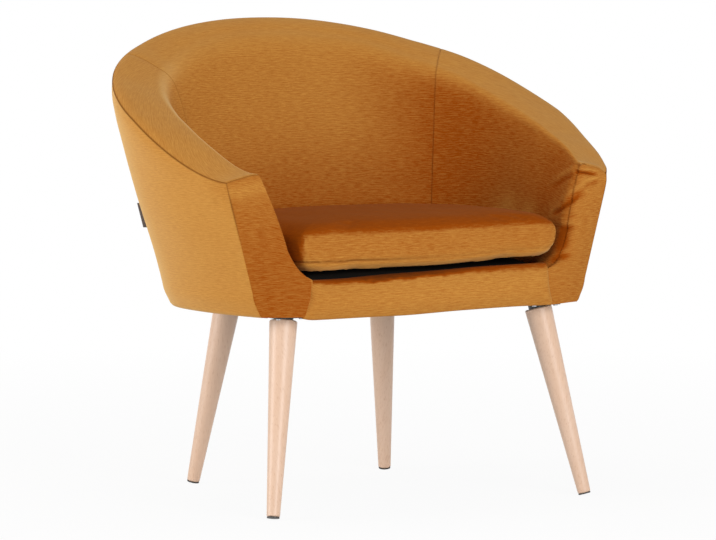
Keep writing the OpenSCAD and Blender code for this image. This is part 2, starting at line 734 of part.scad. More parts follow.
// Shares of the deck's half width, with the share of its crown that it reaches there
deck_shares = [[1, 0], [0.94, 0.55], [0.84, 0.94], [0.78, 1]];
deck_top = deck_h + deck_crown;
module deck_foam() {
    edge = deck_edge(fit, rail_back_y + fit);
    low = ring_top + strap_step + strap_t + fit;
    rings = concat(
        [scaled(edge, deck_mid, 1, low)],
        [for (k = deck_shares)
            scaled(edge, deck_mid, k[0], share(deck_h, deck_top, k[1]) - 2 * dust_t - fit)]
    );
    color(foam)
        difference() {
            stack(
                rings,
                [deck_mid[0], deck_mid[1], low],
                [deck_mid[0], deck_mid[1], deck_top - 2 * dust_t - fit]
            );
            block_pair(fit);
            for (turn = [0, 1]) mirror([turn, 0, 0])
                translate([foot_x - fit, rail_back_y, ring_top - cut])
                    cube([post_foot + post_margin, post_t + 2 * fit, foot_top + fit - ring_top + cut]);
        }
}
module deck_cloth() {
    edge = deck_edge(fit, border_seam_y + border_tail + 2 * fit);
    function cloth_ring(k, in) = scaled(edge, deck_mid, k[0], share(deck_h, deck_top, k[1]) + fit - in);
    last = len(deck_shares) - 1;
    rings = concat(
        [for (i = [last:-1:0]) cloth_ring(deck_shares[i], dust_t)],
        [for (k = deck_shares) cloth_ring(k, 0)]
    );
    color(black_cloth)
        stack(
            rings,
            [deck_mid[0], deck_mid[1], deck_top + fit - dust_t],
            [deck_mid[0], deck_mid[1], deck_top + fit]
        );
}

// Black cloth stapled under the base
dust_margin = 5;
module dust_cover() {
    color(black_cloth)
        difference() {
            translate([0, 0, dust_bottom])
                linear_extrude(height = dust_t)
                    base_outline(
                        -tuck - dust_margin, arm_front_y + dust_margin,
                        border_seam_y + dust_margin, border_x(bottom_h) - fit
                    );
            for (leg = legs) at_leg(leg)
                translate([0, 0, dust_bottom - cut]) {
                    cylinder(r = bolt_room_r, h = dust_t + 2 * cut, $fn = round_fn);
                    screw_places(leg) cylinder(r = screw_r + play, h = dust_t + 2 * cut, $fn = round_fn);
                }
        }
}

// Small blank tag sewn into the left outside seam
tag_l = 38;
tag_w = 7;
tag_t = 0.8;
tag_rise = 103;
module seam_tag() {
    a = outside_seam / steps;
    z = knee_h + tag_rise;
    at = place(-a, [outer_off(a, z) + fit, z]);
    way = outward(a);
    color([0.35, 0.35, 0.36])
        translate(at)
            rotate([0, atan(lean(a)), 180 - atan2(way[1], way[0])])
                translate([0, -tag_t / 2, -tag_l / 2])
                    cube([tag_w, tag_t, tag_l]);
}

// Legs: name side, top place, splay over the height, and direction of the plate
plate_t = 2.5;
plate_bottom = dust_bottom - plate_t;
bolt_r = 3.9;
bolt_room_r = 9;
bolt_in_leg = 32;
play = 0.15;
screw_r = 1.9;
screw_l = 12;
screw_head_r = 3.4;
screw_head_t = 2;
screw_inset = 5.5;
boss_r = 15;
glide_t = 2;
glide_margin = 0.6;
front_splay = [front_splay_x, -front_splay_y];
rear_splay = [rear_splay_x, rear_splay_y];
front_place = [border_half_w + front_leg_out, arm_front_y + front_leg_back];
rear_place = back_hub + (back_r - rear_leg_in) * [sin(rear_leg_turn), cos(rear_leg_turn)];
// Each leg: side, place of its top, splay, turn of its plate
legs = [
    [-1, front_place, front_splay, 0],
    [1, front_place, front_splay, 0],
    [-1, rear_place, rear_splay, -rear_leg_turn],
    [1, rear_place, rear_splay, -rear_leg_turn]
];
function leg_tilt(leg) = atan(norm(leg[2]) / plate_bottom);
function leg_way(leg) = atan2(leg[2][1], leg[2][0]);
// Height of the middle of a leg's top face, and of the middle of its foot
function leg_top_z(leg) = plate_bottom - fit - leg_top_d / 2 * sin(leg_tilt(leg));
function foot_z(leg) = (leg_foot_d / 2 - glide_margin) * sin(leg_tilt(leg));
function leg_length(leg) = (leg_top_z(leg) - foot_z(leg)) / cos(leg_tilt(leg)) - glide_t;
module at_leg(leg) {
    mirror([leg[0] < 0 ? 1 : 0, 0, 0]) translate([leg[1][0], leg[1][1], 0]) children();
}
// Turned so that the leg's axis points down from the middle of its top face
module on_axis(leg) {
    at_leg(leg)
        translate([0, 0, leg_top_z(leg)])
            rotate([0, 0, leg_way(leg)])
                rotate([0, 180 - leg_tilt(leg), 0])
                    children();
}
module tapered_leg(leg) {
    edge = 1.5;
    length = leg_length(leg);
    color(beech)
        on_axis(leg)
            rotate_extrude($fn = round_fn)
                polygon([
                    [bolt_r + play, 0],
                    [leg_top_d / 2 - edge, 0],
                    [leg_top_d / 2, edge],
                    [leg_foot_d / 2, length - edge],
                    [leg_foot_d / 2 - edge, length],
                    [0, length],
                    [0, bolt_in_leg + fit],
                    [bolt_r + play, bolt_in_leg + fit]
                ]);
}
module leg_front_left() { tapered_leg(legs[0]); }
module leg_front_right() { tapered_leg(legs[1]); }
module leg_rear_left() { tapered_leg(legs[2]); }
module leg_rear_right() { tapered_leg(legs[3]); }
module foot_glides() {
    color(black_cloth)
        for (leg = legs) on_axis(leg)
            translate([0, 0, leg_length(leg)])
                cylinder(r = leg_foot_d / 2 - glide_margin, h = glide_t, $fn = round_fn);
}
module screw_places(leg) {
    reach = plate_w / 2 - screw_inset;
    for (x = [-reach, reach]) for (y = [-reach, reach])
        rotate([0, 0, leg[3]]) translate([x, y, 0]) children();
}
module leg_plates() {
    color(black_steel)
        for (leg = legs) difference() {
            union() {
                at_leg(leg)
                    rotate([0, 0, leg[3]])
                        translate([-plate_w / 2, -plate_w / 2, plate_bottom])
                            cube([plate_w, plate_w, plate_t]);
                intersection() {
                    on_axis(leg)
                        translate([0, 0, -leg_top_d - fit])
                            cylinder(r = boss_r, h = leg_top_d, $fn = round_fn);
                    at_leg(leg)
                        translate([-plate_w / 2, -plate_w / 2, 0])
                            cube([plate_w, plate_w, plate_bottom + fit]);
                }
            }
            on_axis(leg)
                translate([0, 0, -leg_top_d])
                    cylinder(r = bolt_r + play, h = 2 * leg_top_d, $fn = round_fn);
            at_leg(leg)
                screw_places(leg)
                    translate([0, 0, plate_bottom - cut])
                        cylinder(r = screw_r + play, h = plate_t + 2 * cut, $fn = round_fn);
        }
}
module hanger_bolts() {
    above = 14;
    color(zinc)
        for (leg = legs) on_axis(leg)
            translate([0, 0, -above]) cylinder(r = bolt_r, h = above + bolt_in_leg, $fn = round_fn);
}
module plate_screws() {
    color(zinc)
        for (leg = legs) at_leg(leg) screw_places(leg)
            translate([0, 0, plate_bottom]) {
                translate([0, 0, -screw_head_t]) cylinder(r = screw_head_r, h = screw_head_t, $fn = round_fn);
                cylinder(r = screw_r, h = plate_t + screw_l, $fn = round_fn);
            }
}

// Cushion: rings of its outline, drawn in by shares, at heights above its underside
cushion_bottom = deck_top + 2 * fit;
cushion_corner_r = 30;
cushion_bow = 11;
cushion_side_share = 0.8;
cushion_side_parts = 16;
cushion_seam_z = cushion_bottom + cushion_seam_h;
cushion_half_w = side_x(inner_off(1, cushion_seam_z)) - cushion_tip_gap;
cushion_mid_share = 0.4;
cushion_mid = [0, front_y + depth * cushion_mid_share];
cushion_front_shares = [-0.6, -0.2, 0.2, 0.6];
cushion_corner_turns = [-70, -40, -5];
function cushion_edge() =
    let (
        front = front_y + cushion_bow,
        corner = [cushion_half_w - cushion_corner_r, front + cushion_corner_r],
        side = [for (i = [0:cushion_side_parts])
            let (s = share(cushion_side_share, -cushion_side_share, i / cushion_side_parts))
            place(s, [inner_off(abs(s), cushion_seam_z) - cushion_gap, cushion_seam_z])],
        right = [for (turn = cushion_corner_turns) corner + cushion_corner_r * [cos(turn), sin(turn)]],
        left = [for (p = reversed(right)) [-p[0], p[1]]]
    )
    concat(
        [for (p = side) [p[0], p[1]]],
        left,
        [for (k = cushion_front_shares) [k * corner[0], front - cushion_bow * (1 - k * k)]],
        right
    );
// Share of the outline, and height as a share between the seam and the front edge or the crown
top_shares = [[0.975, 0], [1, 0.42], [0.985, 0.8], [0.94, 1]];
crown_shares = [[0.82, 0.3], [0.58, 0.68], [0.3, 0.92]];
under_shares = [[0.975, 1], [0.955, 0.45], [0.9, 0.1], [0.86, 0]];
function cushion_ring(k, z) = scaled(cushion_edge(), cushion_mid, k, z);
function top_rings(in) = concat(
    [for (k = top_shares) cushion_ring(
        k[0] - in / cushion_half_w,
        cushion_bottom + share(cushion_seam_h, cushion_edge_h, k[1]) - in * k[1]
    )],
    [for (k = crown_shares) cushion_ring(k[0], cushion_bottom + share(cushion_edge_h, cushion_h, k[1]) - in)]
);
function under_rings(in) = [for (k = under_shares) cushion_ring(
    k[0] - in / cushion_half_w,
    cushion_bottom + cushion_seam_h * k[1] + in * (1 - k[1])
)];
function cushion_centre(z) = [cushion_mid[0], cushion_mid[1], z];

zip_share = 0.05;
zip_y = depth * zip_share;
zip_slot_w = 11;
zip_tape_w = 26;
zip_tape_t = 0.8;
zip_end = 12;
slider_l = 14;
slider_w = 8;
slider_t = 2;
slider_lift = 0.2;
tab_l = 20;
tab_w = 5;
tab_t = 0.9;
tape_z = cushion_bottom + slider_lift + slider_t + fit;
zip_half = zip_run / 2 + slider_l / 2 + tab_l + zip_end;
module cushion_top_cover() {
    color(velvet)
        stack(
            concat(reversed(top_rings(velvet_t)), top_rings(0)),
            cushion_centre(cushion_bottom + cushion_h - velvet_t),
            cushion_centre(cushion_bottom + cushion_h)
        );
}
module cushion_bottom_cover() {
    lowered = function (rings, low)
        [for (ring = rings) [for (p = ring) [p[0], p[1], p[2] > low ? p[2] - fit : p[2]]]];
    lower = lowered(under_rings(0), cushion_bottom);
    upper = lowered(under_rings(velvet_t), cushion_bottom + velvet_t);
    color(velvet)
        difference() {
            stack(
                concat(reversed(lower), upper),
                cushion_centre(cushion_bottom),
                cushion_centre(cushion_bottom + velvet_t)
            );
            translate([-zip_half + zip_end, zip_y - zip_slot_w / 2, cushion_bottom - cut])
                cube([2 * (zip_half - zip_end), zip_slot_w, velvet_t + 2 * cut]);
        }
}
module cushion_core() {
    in = velvet_t + fit;
    upper = top_rings(in);
    groove_h = tape_z + zip_tape_t + fit - cushion_bottom;
    color(foam)
        difference() {
            stack(
                concat(reversed(under_rings(in)), [for (i = [1:len(upper) - 1]) upper[i]]),
                cushion_centre(cushion_bottom + in),
                cushion_centre(cushion_bottom + cushion_h - in)
            );
            translate([-zip_half - fit, zip_y - zip_tape_w / 2 - fit, cushion_bottom - cut])
                cube([2 * (zip_half + fit), zip_tape_w + 2 * fit, groove_h + cut]);
        }
}
module cushion_zip() {
    color(black_cloth)
        translate([-zip_half, zip_y - zip_tape_w / 2, tape_z])
            cube([2 * zip_half, zip_tape_w, zip_tape_t]);
}
module zip_slider() {
    color(zinc)
        translate([-zip_run / 2, zip_y, cushion_bottom + slider_lift]) {
            translate([-slider_l / 2, -slider_w / 2, 0]) cube([slider_l, slider_w, slider_t]);
            translate([-slider_l / 2 - tab_l, -tab_w / 2, 0]) cube([tab_l, tab_w, tab_t]);
        }
}

leg_front_left();
leg_front_right();
leg_rear_left();
leg_rear_right();
foot_glides();
leg_plates();
hanger_bolts();
plate_screws();
base_ring();
front_rail();
arm_post_left();
arm_post_right();
rim_rail_back();
rim_rail_left();
rim_rail_right();
wall_ribs();
corner_blocks();
outer_board_back();
outer_board_left();
outer_board_right();
inner_board();
webbing_across();
webbing_along();
deck_foam();
back_foam();
arm_foam_left();
arm_foam_right();
arm_front_pad_left();
arm_front_pad_right();
border_foam();
base_padding();
inside_cover_back();
inside_cover_left();
inside_cover_right();
outside_cover_back();
outside_cover_left();
outside_cover_right();
arm_front_cover_left();
arm_front_cover_right();
border_cover();
deck_cloth();
dust_cover();
seam_tag();
cushion_core();
cushion_top_cover();
cushion_bottom_cover();
cushion_zip();
zip_slider();
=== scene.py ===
"""A low upholstered tub chair: velvet covers, seat cushion, linings, finishes and a plain stage."""

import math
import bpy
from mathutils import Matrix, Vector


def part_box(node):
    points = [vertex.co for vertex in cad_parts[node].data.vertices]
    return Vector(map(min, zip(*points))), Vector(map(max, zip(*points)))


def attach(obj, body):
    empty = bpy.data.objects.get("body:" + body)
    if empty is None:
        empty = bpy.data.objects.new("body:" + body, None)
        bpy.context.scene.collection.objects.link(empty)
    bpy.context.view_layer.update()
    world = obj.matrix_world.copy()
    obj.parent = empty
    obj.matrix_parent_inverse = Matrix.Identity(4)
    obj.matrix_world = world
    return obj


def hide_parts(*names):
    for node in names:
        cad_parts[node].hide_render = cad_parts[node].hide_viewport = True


bl_info = {
    "name": "Tub chair",
    "version": (1, 0, 0),
    "blender": (4, 5, 0),
    "location": "View3D > Sidebar > Tub chair",
    "description": "Dresses the frame of a low upholstered tub chair",
    "category": "Object",
}

import bmesh
import bpy
import numpy as np
from mathutils import Matrix, Vector, noise

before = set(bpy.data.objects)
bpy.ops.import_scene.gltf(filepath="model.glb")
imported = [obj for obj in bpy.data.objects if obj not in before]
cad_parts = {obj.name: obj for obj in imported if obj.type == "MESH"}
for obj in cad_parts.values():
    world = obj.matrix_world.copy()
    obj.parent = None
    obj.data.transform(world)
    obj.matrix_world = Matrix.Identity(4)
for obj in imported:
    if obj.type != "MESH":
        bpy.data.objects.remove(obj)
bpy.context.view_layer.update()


# Values that a user would change


def length(name, default, description):
    return bpy.props.FloatProperty(
        name=name, default=default, description=description, unit="LENGTH", subtype="DISTANCE", precision=4
    )


def angle(name, default, description):
    return bpy.props.FloatProperty(
        name=name, default=math.radians(default), description=description, unit="ROTATION", subtype="ANGLE"
    )


def colour(name, default, description):
    return bpy.props.FloatVectorProperty(
        name=name, default=default, description=description, size=3, min=0, max=1, subtype="COLOR"
    )


class TubSizes(bpy.types.PropertyGroup):
    """Sizes of the upholstered tub, the same as the frame's."""

    back_h: length("Back height", 0.740, "Height of the seam along the rim, at the back")
    arm_h: length("Arm height", 0.507, "Height of the same seam at the arm tips")
    depth: length("Depth", 0.554, "From the front of the cushion to the rim of the back")
    bottom_h: length("Underside", 0.302, "Height of the underside of the upholstery")
    knee_h: length("Knee", 0.338, "Height of the widest line low on the outside")
    arm_set_back: length("Arm set-back", 0.042, "How far the arm fronts lie behind the front of the chair")
    back_r: length("Back radius", 0.436, "Radius of the back, in plan")
    corner_r: length("Corner radius", 0.218, "Radius of the rear corners, in plan")
    side_r: length("Side radius", 0.521, "Radius of the sides, in plan")
    back_turn: angle("Back turn", 29.1, "Direction where the back arc meets the corner arc")
    corner_turn: angle("Corner turn", 85.9, "Direction where the corner arc meets the side arc")
    back_lean: angle("Back lean", 11.2, "Outward lean of the back")
    side_lean: angle("Side lean", 15.9, "Outward lean of the arm fronts")
    tuck: length("Tuck", 0.0155, "How far the outside tucks in towards the underside")
    rim_back_w: length("Rim width, back", 0.062, "Width of the rim band at the back")
    rim_side_w: length("Rim width, sides", 0.084, "Width of the rim band at the sides")
    rim_tip_w: length("Rim width, tips", 0.064, "Width of the rim band at the arm tips")
    rim_fall: length("Rim fall", 0.038, "Fall of the rim band towards the inside, at the back")
    rim_rise: length("Rim rise", 0.012, "Rise of the rim band towards the inside, at the tips")
    deck_h: length("Deck", 0.357, "Height of the seat deck at the front border")
    deck_crown: length("Deck crown", 0.012, "Crown of the seat deck")
    border_belly: length("Border belly", 0.012, "Belly of the front border")
    arm_toe: length("Arm toe", 0.026, "How far the inner edge of the arm fronts comes forward")


class CushionSizes(bpy.types.PropertyGroup):
    """Sizes of the loose seat cushion."""

    tip_gap: length("Tip gap", 0.002, "Gap between the cushion and the arm tips")
    crown_h: length("Crown", 0.076, "Height at the crown, above the underside")
    seam_h: length("Seam", 0.015, "Height of the seam above the underside")
    edge_h: length("Edge", 0.066, "Height of the rounded front edge")
    gap: length("Gap", 0.005, "Gap between the cushion and the tub")
    swell: length("Swell", 0.006, "The most that the filling pushes the cover out")


class Finishes(bpy.types.PropertyGroup):
    """Colours of the visible materials."""

    velvet_deep: colour("Velvet, deep", (0.330, 0.066, 0.003), "Velvet whose pile is seen from its tips")
    velvet_brushed: colour("Velvet, brushed", (0.640, 0.305, 0.062), "Velvet whose pile lies flat")
    # Painted sheen, mixed into the colour where a surface turns away from the view
    velvet_painted_sheen: colour("Velvet, edge", (0.800, 0.560, 0.270), "Tips of the pile along the edges of a shape")
    # Also the colour of painted shade: folds, hollows, the border's top under the cushion, and the cushion's top and
    # ends
    velvet_seam_and_shade: colour("Velvet, seams", (0.130, 0.032, 0.005), "Velvet tucked into a seam")
    beech: colour("Beech", (0.800, 0.540, 0.380), "Pale beech of the legs")
    beech_dark: colour("Beech, flecks", (0.600, 0.340, 0.190), "Flecks and late wood of the beech")
    plywood: colour("Plywood", (0.480, 0.300, 0.150), "Faces of the plywood")
    board: colour("Fibreboard", (0.190, 0.105, 0.050), "Bent fibreboard")
    lining: colour("Lining", (0.006, 0.005, 0.004), "Black linings")
    steel: colour("Black steel", (0.020, 0.020, 0.021), "Painted leg plates")
    zinc: colour("Zinc", (0.560, 0.570, 0.585), "Zinc-plated fasteners")
    floor: colour("Floor", (0.860, 0.860, 0.860), "Pale floor")


class StageSizes(bpy.types.PropertyGroup):
    """The camera and the lamps."""

    eye: bpy.props.FloatVectorProperty(
        name="Eye", default=(-3.452, -5.902, 0.892), size=3, unit="LENGTH", description="Place of the camera"
    )
    heading: angle("Heading", 30.49, "Direction of the view, from +Y towards +X")
    dip: angle("Dip", 4.56, "Downward pitch of the view")
    lens: bpy.props.FloatProperty(name="Lens", default=218.5, description="Focal length, in millimetres")
    floor_half: length("Floor", 9.0, "Half the side of the floor")


GROUPS = {"tub": TubSizes, "cushion": CushionSizes, "finishes": Finishes, "stage": StageSizes}


def values(group):
    return getattr(bpy.context.scene, "chair_" + group)


# Shapes of the tub


def share(a, b, k):
    return a + (b - a) * k


def clamp(v):
    return min(1.0, max(0.0, v))


def ease(a, b, v):
    k = clamp((v - a) / (b - a))
    return k * k * (3 - 2 * k)


def bump(a, top, b, v):
    return ease(a, top, v) * (1 - ease(top, b, v))


def along(points, t):
    """A point of the smooth line through some points, at a fractional index."""
    i = max(0, min(int(t), len(points) - 2))
    k = t - i
    p, q = points[i], points[i + 1]
    step = np.linalg.norm(q - p)

    def pace(j):
        if j <= 0 or j >= len(points) - 1:
            j = max(0, min(j, len(points) - 1))
            a, b = (points[0], points[1]) if j == 0 else (points[-2], points[-1])
            return (b - a) / np.linalg.norm(b - a)
        a, b, c = points[j - 1], points[j], points[j + 1]
        ab, bc = np.linalg.norm(b - a), np.linalg.norm(c - b)
        return ((b - a) / ab * bc + (c - b) / bc * ab) / (ab + bc)

    m, n = pace(i) * step, pace(i + 1) * step
    k2, k3 = k * k, k * k * k
    return p * (2 * k3 - 3 * k2 + 1) + m * (k3 - 2 * k2 + k) + q * (3 * k2 - 2 * k3) + n * (k3 - k2)


class Wall:
    """The finished surface of the tub's wall. A share runs from the middle of the back, 0, to an arm tip, 1. The
    inside cover leaves its right edge here for the arm front that is sewn to it."""

    right_edge = None
    frame_end = 0.95
    outside_seam = 0.55
    inside_seam = 0.40
    flare_h, flare_w = 0.048, 0.024
    crease_soft, tip_soft = 0.027, 0.006
    rim_crown, edge_round = 0.005, 0.006
    seat_wall_back, seat_wall_side, inside_crown = 0.086, 0.072, 0.006
    hem_w, cover_tail = 0.007, 0.025
    border_spread = 0.012
    puff = 0.0065

    def __init__(self):
        t = self.t = values("tub")
        self.front_y = -t.depth / 2
        self.arm_front_y = self.front_y + t.arm_set_back
        knee_back_y = t.depth / 2 - math.tan(t.back_lean) * (t.back_h - t.knee_h)
        self.knee_back_y = knee_back_y
        back = np.array([0, knee_back_y - t.back_r])
        corner = back + (t.back_r - t.corner_r) * np.array([math.sin(t.back_turn), math.cos(t.back_turn)])
        side = corner + (t.corner_r - t.side_r) * np.array([math.sin(t.corner_turn), math.cos(t.corner_turn)])
        side_turn = math.acos((self.arm_front_y - side[1]) / t.side_r)
        self.arcs = [
            (back, t.back_r, 0.0, t.back_turn),
            (corner, t.corner_r, t.back_turn, t.corner_turn),
            (side, t.side_r, t.corner_turn, side_turn),
        ]
        self.outline = sum(r * (b - a) for _, r, a, b in self.arcs)
        self.tip_pull = -math.cos(side_turn)
        self.tip_top = t.arm_h + t.rim_rise
        self.border_half_w = self.side_x(self.inner(1, t.deck_h)) + 0.001

    def knee(self, a):
        run = a * self.outline
        for hub, r, start, end in self.arcs:
            part = r * (end - start)
            if run <= part or end == self.arcs[-1][3]:
                turn = start + run / r
                way = np.array([math.sin(turn), math.cos(turn)])
                return hub + r * way, way + np.array([0, self.tip_pull * a**4])
            run -= part

    def lean(self, a):
        return share(math.tan(self.t.back_lean), math.tan(self.t.side_lean), a)

    def side_x(self, off):
        foot, way = self.knee(1)
        return foot[0] + way[0] * off

    def rim_z(self, s):
        """Height of the rim seam. The right side has settled a little, and stands out behind its tip."""
        a = abs(s)
        level = self.t.arm_h + (self.t.back_h - self.t.arm_h) * (1 - a**2.13) ** 1.7
        if s <= 0:
            return level
        return level - 0.0065 * bump(0.42, 0.60, 0.78, a) + 0.0050 * bump(0.76, 0.90, 1.0, a)

    def rim_w(self, a):
        t = self.t
        wide = share(t.rim_back_w, t.rim_side_w, ease(0.15, 0.62, a))
        return wide - (t.rim_side_w - t.rim_tip_w) * ease(0.65, 1, a)

    def crease_z(self, s):
        return self.rim_z(s) + share(-self.t.rim_fall, self.t.rim_rise, ease(0.3, 0.9, abs(s)))

    def outer(self, a, z):
        t = self.t
        if z >= t.knee_h:
            return self.lean(a) * (z - t.knee_h)
        return -t.tuck * ((t.knee_h - z) / (t.knee_h - t.bottom_h)) ** 1.6

    def wall_at(self, s, z):
        deck, a = self.t.deck_h, abs(s)
        k = clamp((z - deck) / (self.crease_z(s) - deck))
        low = share(self.seat_wall_back, self.seat_wall_side, ease(0.25, 0.6, a))
        flare = self.flare_w * clamp((deck + self.flare_h - z) / self.flare_h) ** 1.9 * ease(0.8, 1, a)
        return share(low, self.rim_w(a), k) + self.inside_crown * math.sin(math.pi * k) + flare

    def inner(self, s, z):
        return self.lean(abs(s)) * (z - self.t.knee_h) - self.wall_at(s, z)

    def place(self, s, off, z):
        """A point at a signed share, an offset out from the knee's outline and a height."""
        a = abs(s)
        foot, way = self.knee(a)
        toe = self.t.arm_toe * clamp((self.tip_top - z) / (self.tip_top - self.t.deck_h))
        toe *= ease(self.frame_end, 1, a) * clamp((self.outer(a, z) - off) / self.wall_at(a, z))
        x, y = foot + way * off
        return np.array([-x if s < 0 else x, y - toe, z])

    def outside_path(self, s):
        """Section of the outside, from the hem under the base to the rim seam, with its puffed panel."""
        t, a = self.t, abs(s)
        low = [[-t.tuck - self.hem_w, t.bottom_h]]
        hem = [[self.outer(a, z), z] for z in (share(t.bottom_h, t.knee_h, k) for k in (0, 0.3, 0.65, 1))]
        top = self.rim_z(s)
        side = []
        for k in (0.12, 0.3, 0.45, 0.6, 0.75, 0.87, 0.95, 1):
            z = share(t.knee_h, top, k)
            puff = self.puff * ease(0.1, 0.6, k) * (1 - ease(0.92, 1, k)) * (1 - ease(0.7, 0.98, a))
            side.append([self.outer(a, z) + puff, z])
        return np.array(low + hem + side)

    def inside_path(self, s):
        """Section of the inside, from the rim seam over the band, down the inside and behind the deck."""
        t, a, rim = self.t, abs(s), self.rim_z(s)
        flat = ease(0.75, 1, a)
        seam, lift = np.array([self.outer(a, rim), rim]), np.array([0, self.rim_crown * (1 - 0.7 * flat)])
        crease_z = self.crease_z(s)
        crease = np.array([self.inner(s, crease_z), crease_z])
        soft = share(share(self.crease_soft, 0.016, ease(0.30, 0.62, a)), self.tip_soft, ease(0.6, 1, a))
        start = share(crease, seam, soft / self.rim_w(a)) + lift / 2
        low_z = crease_z - soft
        low = np.array([self.inner(s, low_z), low_z])
        top = crease + lift / 2
        rise = 0.5 - 0.35 * flat + (crease_z - rim) / self.rim_w(a)
        edge = seam + [-self.edge_round, self.edge_round * rise]
        bend = [share(share(start, top, k), share(top, low, k), k) for k in (0, 0.3, 0.65, 1)]
        face = [[self.inner(s, z), z] for z in (share(t.deck_h, low_z, k) for k in (0.8, 0.55, 0.3, 0.12, 0))]
        tail = [[self.inner(s, t.deck_h), t.deck_h - self.cover_tail]]
        return np.array([seam, edge, share(seam, crease, 0.4) + lift, *bend, *face, *tail])

    def rim_turn(self, s):
        """Half the angle between the outside and the rim band, at their seam."""
        up, over = self.outside_path(s), self.inside_path(s)
        return half_turn(up[-1] - up[-2], over[1] - over[0])

    def rim_edge(self, columns):
        """How a panel is sewn at the rim seam."""
        return RIM_ROLL, np.array([[self.rim_turn(c)] for c in columns]), GROOVE, 0.9

    def laid_along(self, section, columns):
        """The spot of each column and row of a panel, whose sections are paths of offsets and heights."""
        paths = {c: section(c) for c in columns}
        return lambda c, r: self.place(c, *along(paths[c], r))

    def tip_turn(self, z):
        """Half the angle between the outside and an arm front, at their seam."""
        a, b = (self.place(s, self.outer(s, z), z)[:2] for s in (0.985, 1.0))
        return half_turn(b - a, (-1.0, -0.15))

    def tip_edge(self, heights):
        """How the outside and an arm front are sewn: rounder near the rim, and the seam fades lower down."""
        round_ = np.array([[share(0.004, 0.009, ease(0.47, 0.507, z)) for z in heights]])
        shade = np.array([[share(0.15, 0.8, ease(0.40, 0.47, z)) for z in heights]])
        return round_, np.array([[self.tip_turn(z) for z in heights]]), 0.0002, shade

    def inner_turn(self, z):
        """Half the angle between the inside and an arm front, at their edge."""
        t = self.t
        a, b = (self.place(s, self.inner(s, z), z)[:2] for s in (0.985, 1.0))
        toe = t.arm_toe * clamp((self.tip_top - z) / (self.tip_top - t.deck_h))
        return half_turn(b - a, (self.wall_at(1, z), toe))

    def border_x(self, z):
        t = self.t
        return self.border_half_w + self.border_spread * clamp((t.knee_h - z) / (t.knee_h - t.bottom_h)) ** 1.5


# Cloth laid over a shape

# Thickness of the velvet, of the cloths over the deck and under the base, and of the tag's tape
VELVET_T, DECK_CLOTH_T, BASE_CLOTH_T, TAPE_T = 0.0012, 0.0005, 0.0004, 0.0003
# Roll of the panels at the rim seam, depth of a plain seam's groove and reach of a seam's shade
RIM_ROLL, GROOVE, SEAM_SHADE_W = 0.0022, 0.0003, 0.0016
# From this radius on an edge is soft, and its panel runs on under its neighbour by so much
SOFT_EDGE_R, LAP = 0.010, 0.0014


def stops(length_m, pitch, fine_start=True, fine_end=True):
    """Places from 0 to a length, close together at the ends that are seams."""
    near = [0, 0.0004, 0.001, 0.0018, 0.0028, 0.004, 0.006, 0.009]
    start = near if fine_start else [0]
    end = [length_m - x for x in reversed(near)] if fine_end else [length_m]
    count = max(1, round((end[0] - start[-1]) / pitch))
    return start + [share(start[-1], end[0], i / count) for i in range(1, count)] + end


def levelled(ways, steep):
    """Directions turned level, where the cloth is steep."""
    return unit(ways * np.stack([np.ones_like(steep), np.ones_like(steep), 1 - steep], axis=2))


def sewn(points, normals, inward, d, radius, turn, groove, level=False):
    """Rolls the edge of a panel over towards its seam, by half the angle between the two panels, or by about a
    right angle where they lie flat, and tucks it into the seam's groove. Along a soft edge, a panel with a groove
    runs on under its neighbour. Gives the points and their normals."""
    turn = np.radians(turn)
    flat = turn > 1.4
    start = normals
    if level:
        steep = np.clip((0.9 - np.abs(normals[..., 2])) / 0.3, 0, 1)
        normals, inward = levelled(normals, steep), levelled(inward, steep)
    reach = radius * np.where(flat, 1.0, np.tan(np.minimum(turn, 1.3)))
    lap = reach * 0.25 + 1e-6
    bend = turn * np.clip((reach - d) / np.maximum(reach - lap, 1e-6), 0, 1)
    end = np.clip((lap - d) / lap, 0, 1)
    soft, under = radius >= SOFT_EDGE_R, LAP * (groove > 0)
    tuck = np.where(soft, groove * np.sin(turn) - under * np.cos(turn), groove * np.cos(turn) - 0.0005)
    dip = np.where(soft, groove * np.cos(turn) + under * np.sin(turn), groove * np.sin(turn))
    pull = np.where(d < reach, reach - radius * np.sin(bend) - d + end * tuck, 0)
    sink = radius * (1 - np.cos(bend)) + end * dip
    face = np.where(flat, 0, bend)[..., None]
    rolled = np.where(bend[..., None] > 0, normals * np.cos(face) - inward * np.sin(face), start)
    return points + inward * pull[..., None] - normals * sink[..., None], rolled


def half_turn(way, next_way):
    """Half the angle between two directions, in degrees."""
    size = np.linalg.norm(way) * np.linalg.norm(next_way)
    return math.degrees(math.acos(max(-1.0, min(1.0, float(np.dot(way, next_way)) / size)))) / 2


def lumps(points, size, height, seed=0.0):
    """Soft unevenness of the filling."""
    return np.array([height * noise.noise(Vector(p) / size + Vector((seed, seed * 2, -seed))) for p in points])


def fold(points, normals, line, width):
    """How far each point is in the valley of a crease along a line, and on the lip along its upper side."""
    line = np.array(line)
    best, d, at = (np.full(len(points), v) for v in (9.0, 9.0, 0.0))
    for n, (a, b) in enumerate(zip(line, line[1:])):
        run = b - a
        k = np.clip((points - a) @ run / (run @ run), 0, 1)
        off = points - a - k[:, None] * run
        closer = np.linalg.norm(off, axis=1) < best
        best = np.where(closer, np.linalg.norm(off, axis=1), best)
        off -= np.sum(off * normals, axis=1)[:, None] * normals
        d = np.where(closer, np.linalg.norm(off, axis=1) * np.sign(off[:, 2]), d)
        at = np.where(closer, (n + k) / (len(line) - 1), at)
    taper = np.clip(np.sin(np.pi * np.clip(at, 0.02, 0.98)), 0, 1) ** 0.5 * (best < 0.03)
    return taper * np.exp(-((d / width) ** 2)), taper * np.exp(-(((d - 2.0 * width) / (1.2 * width)) ** 2))
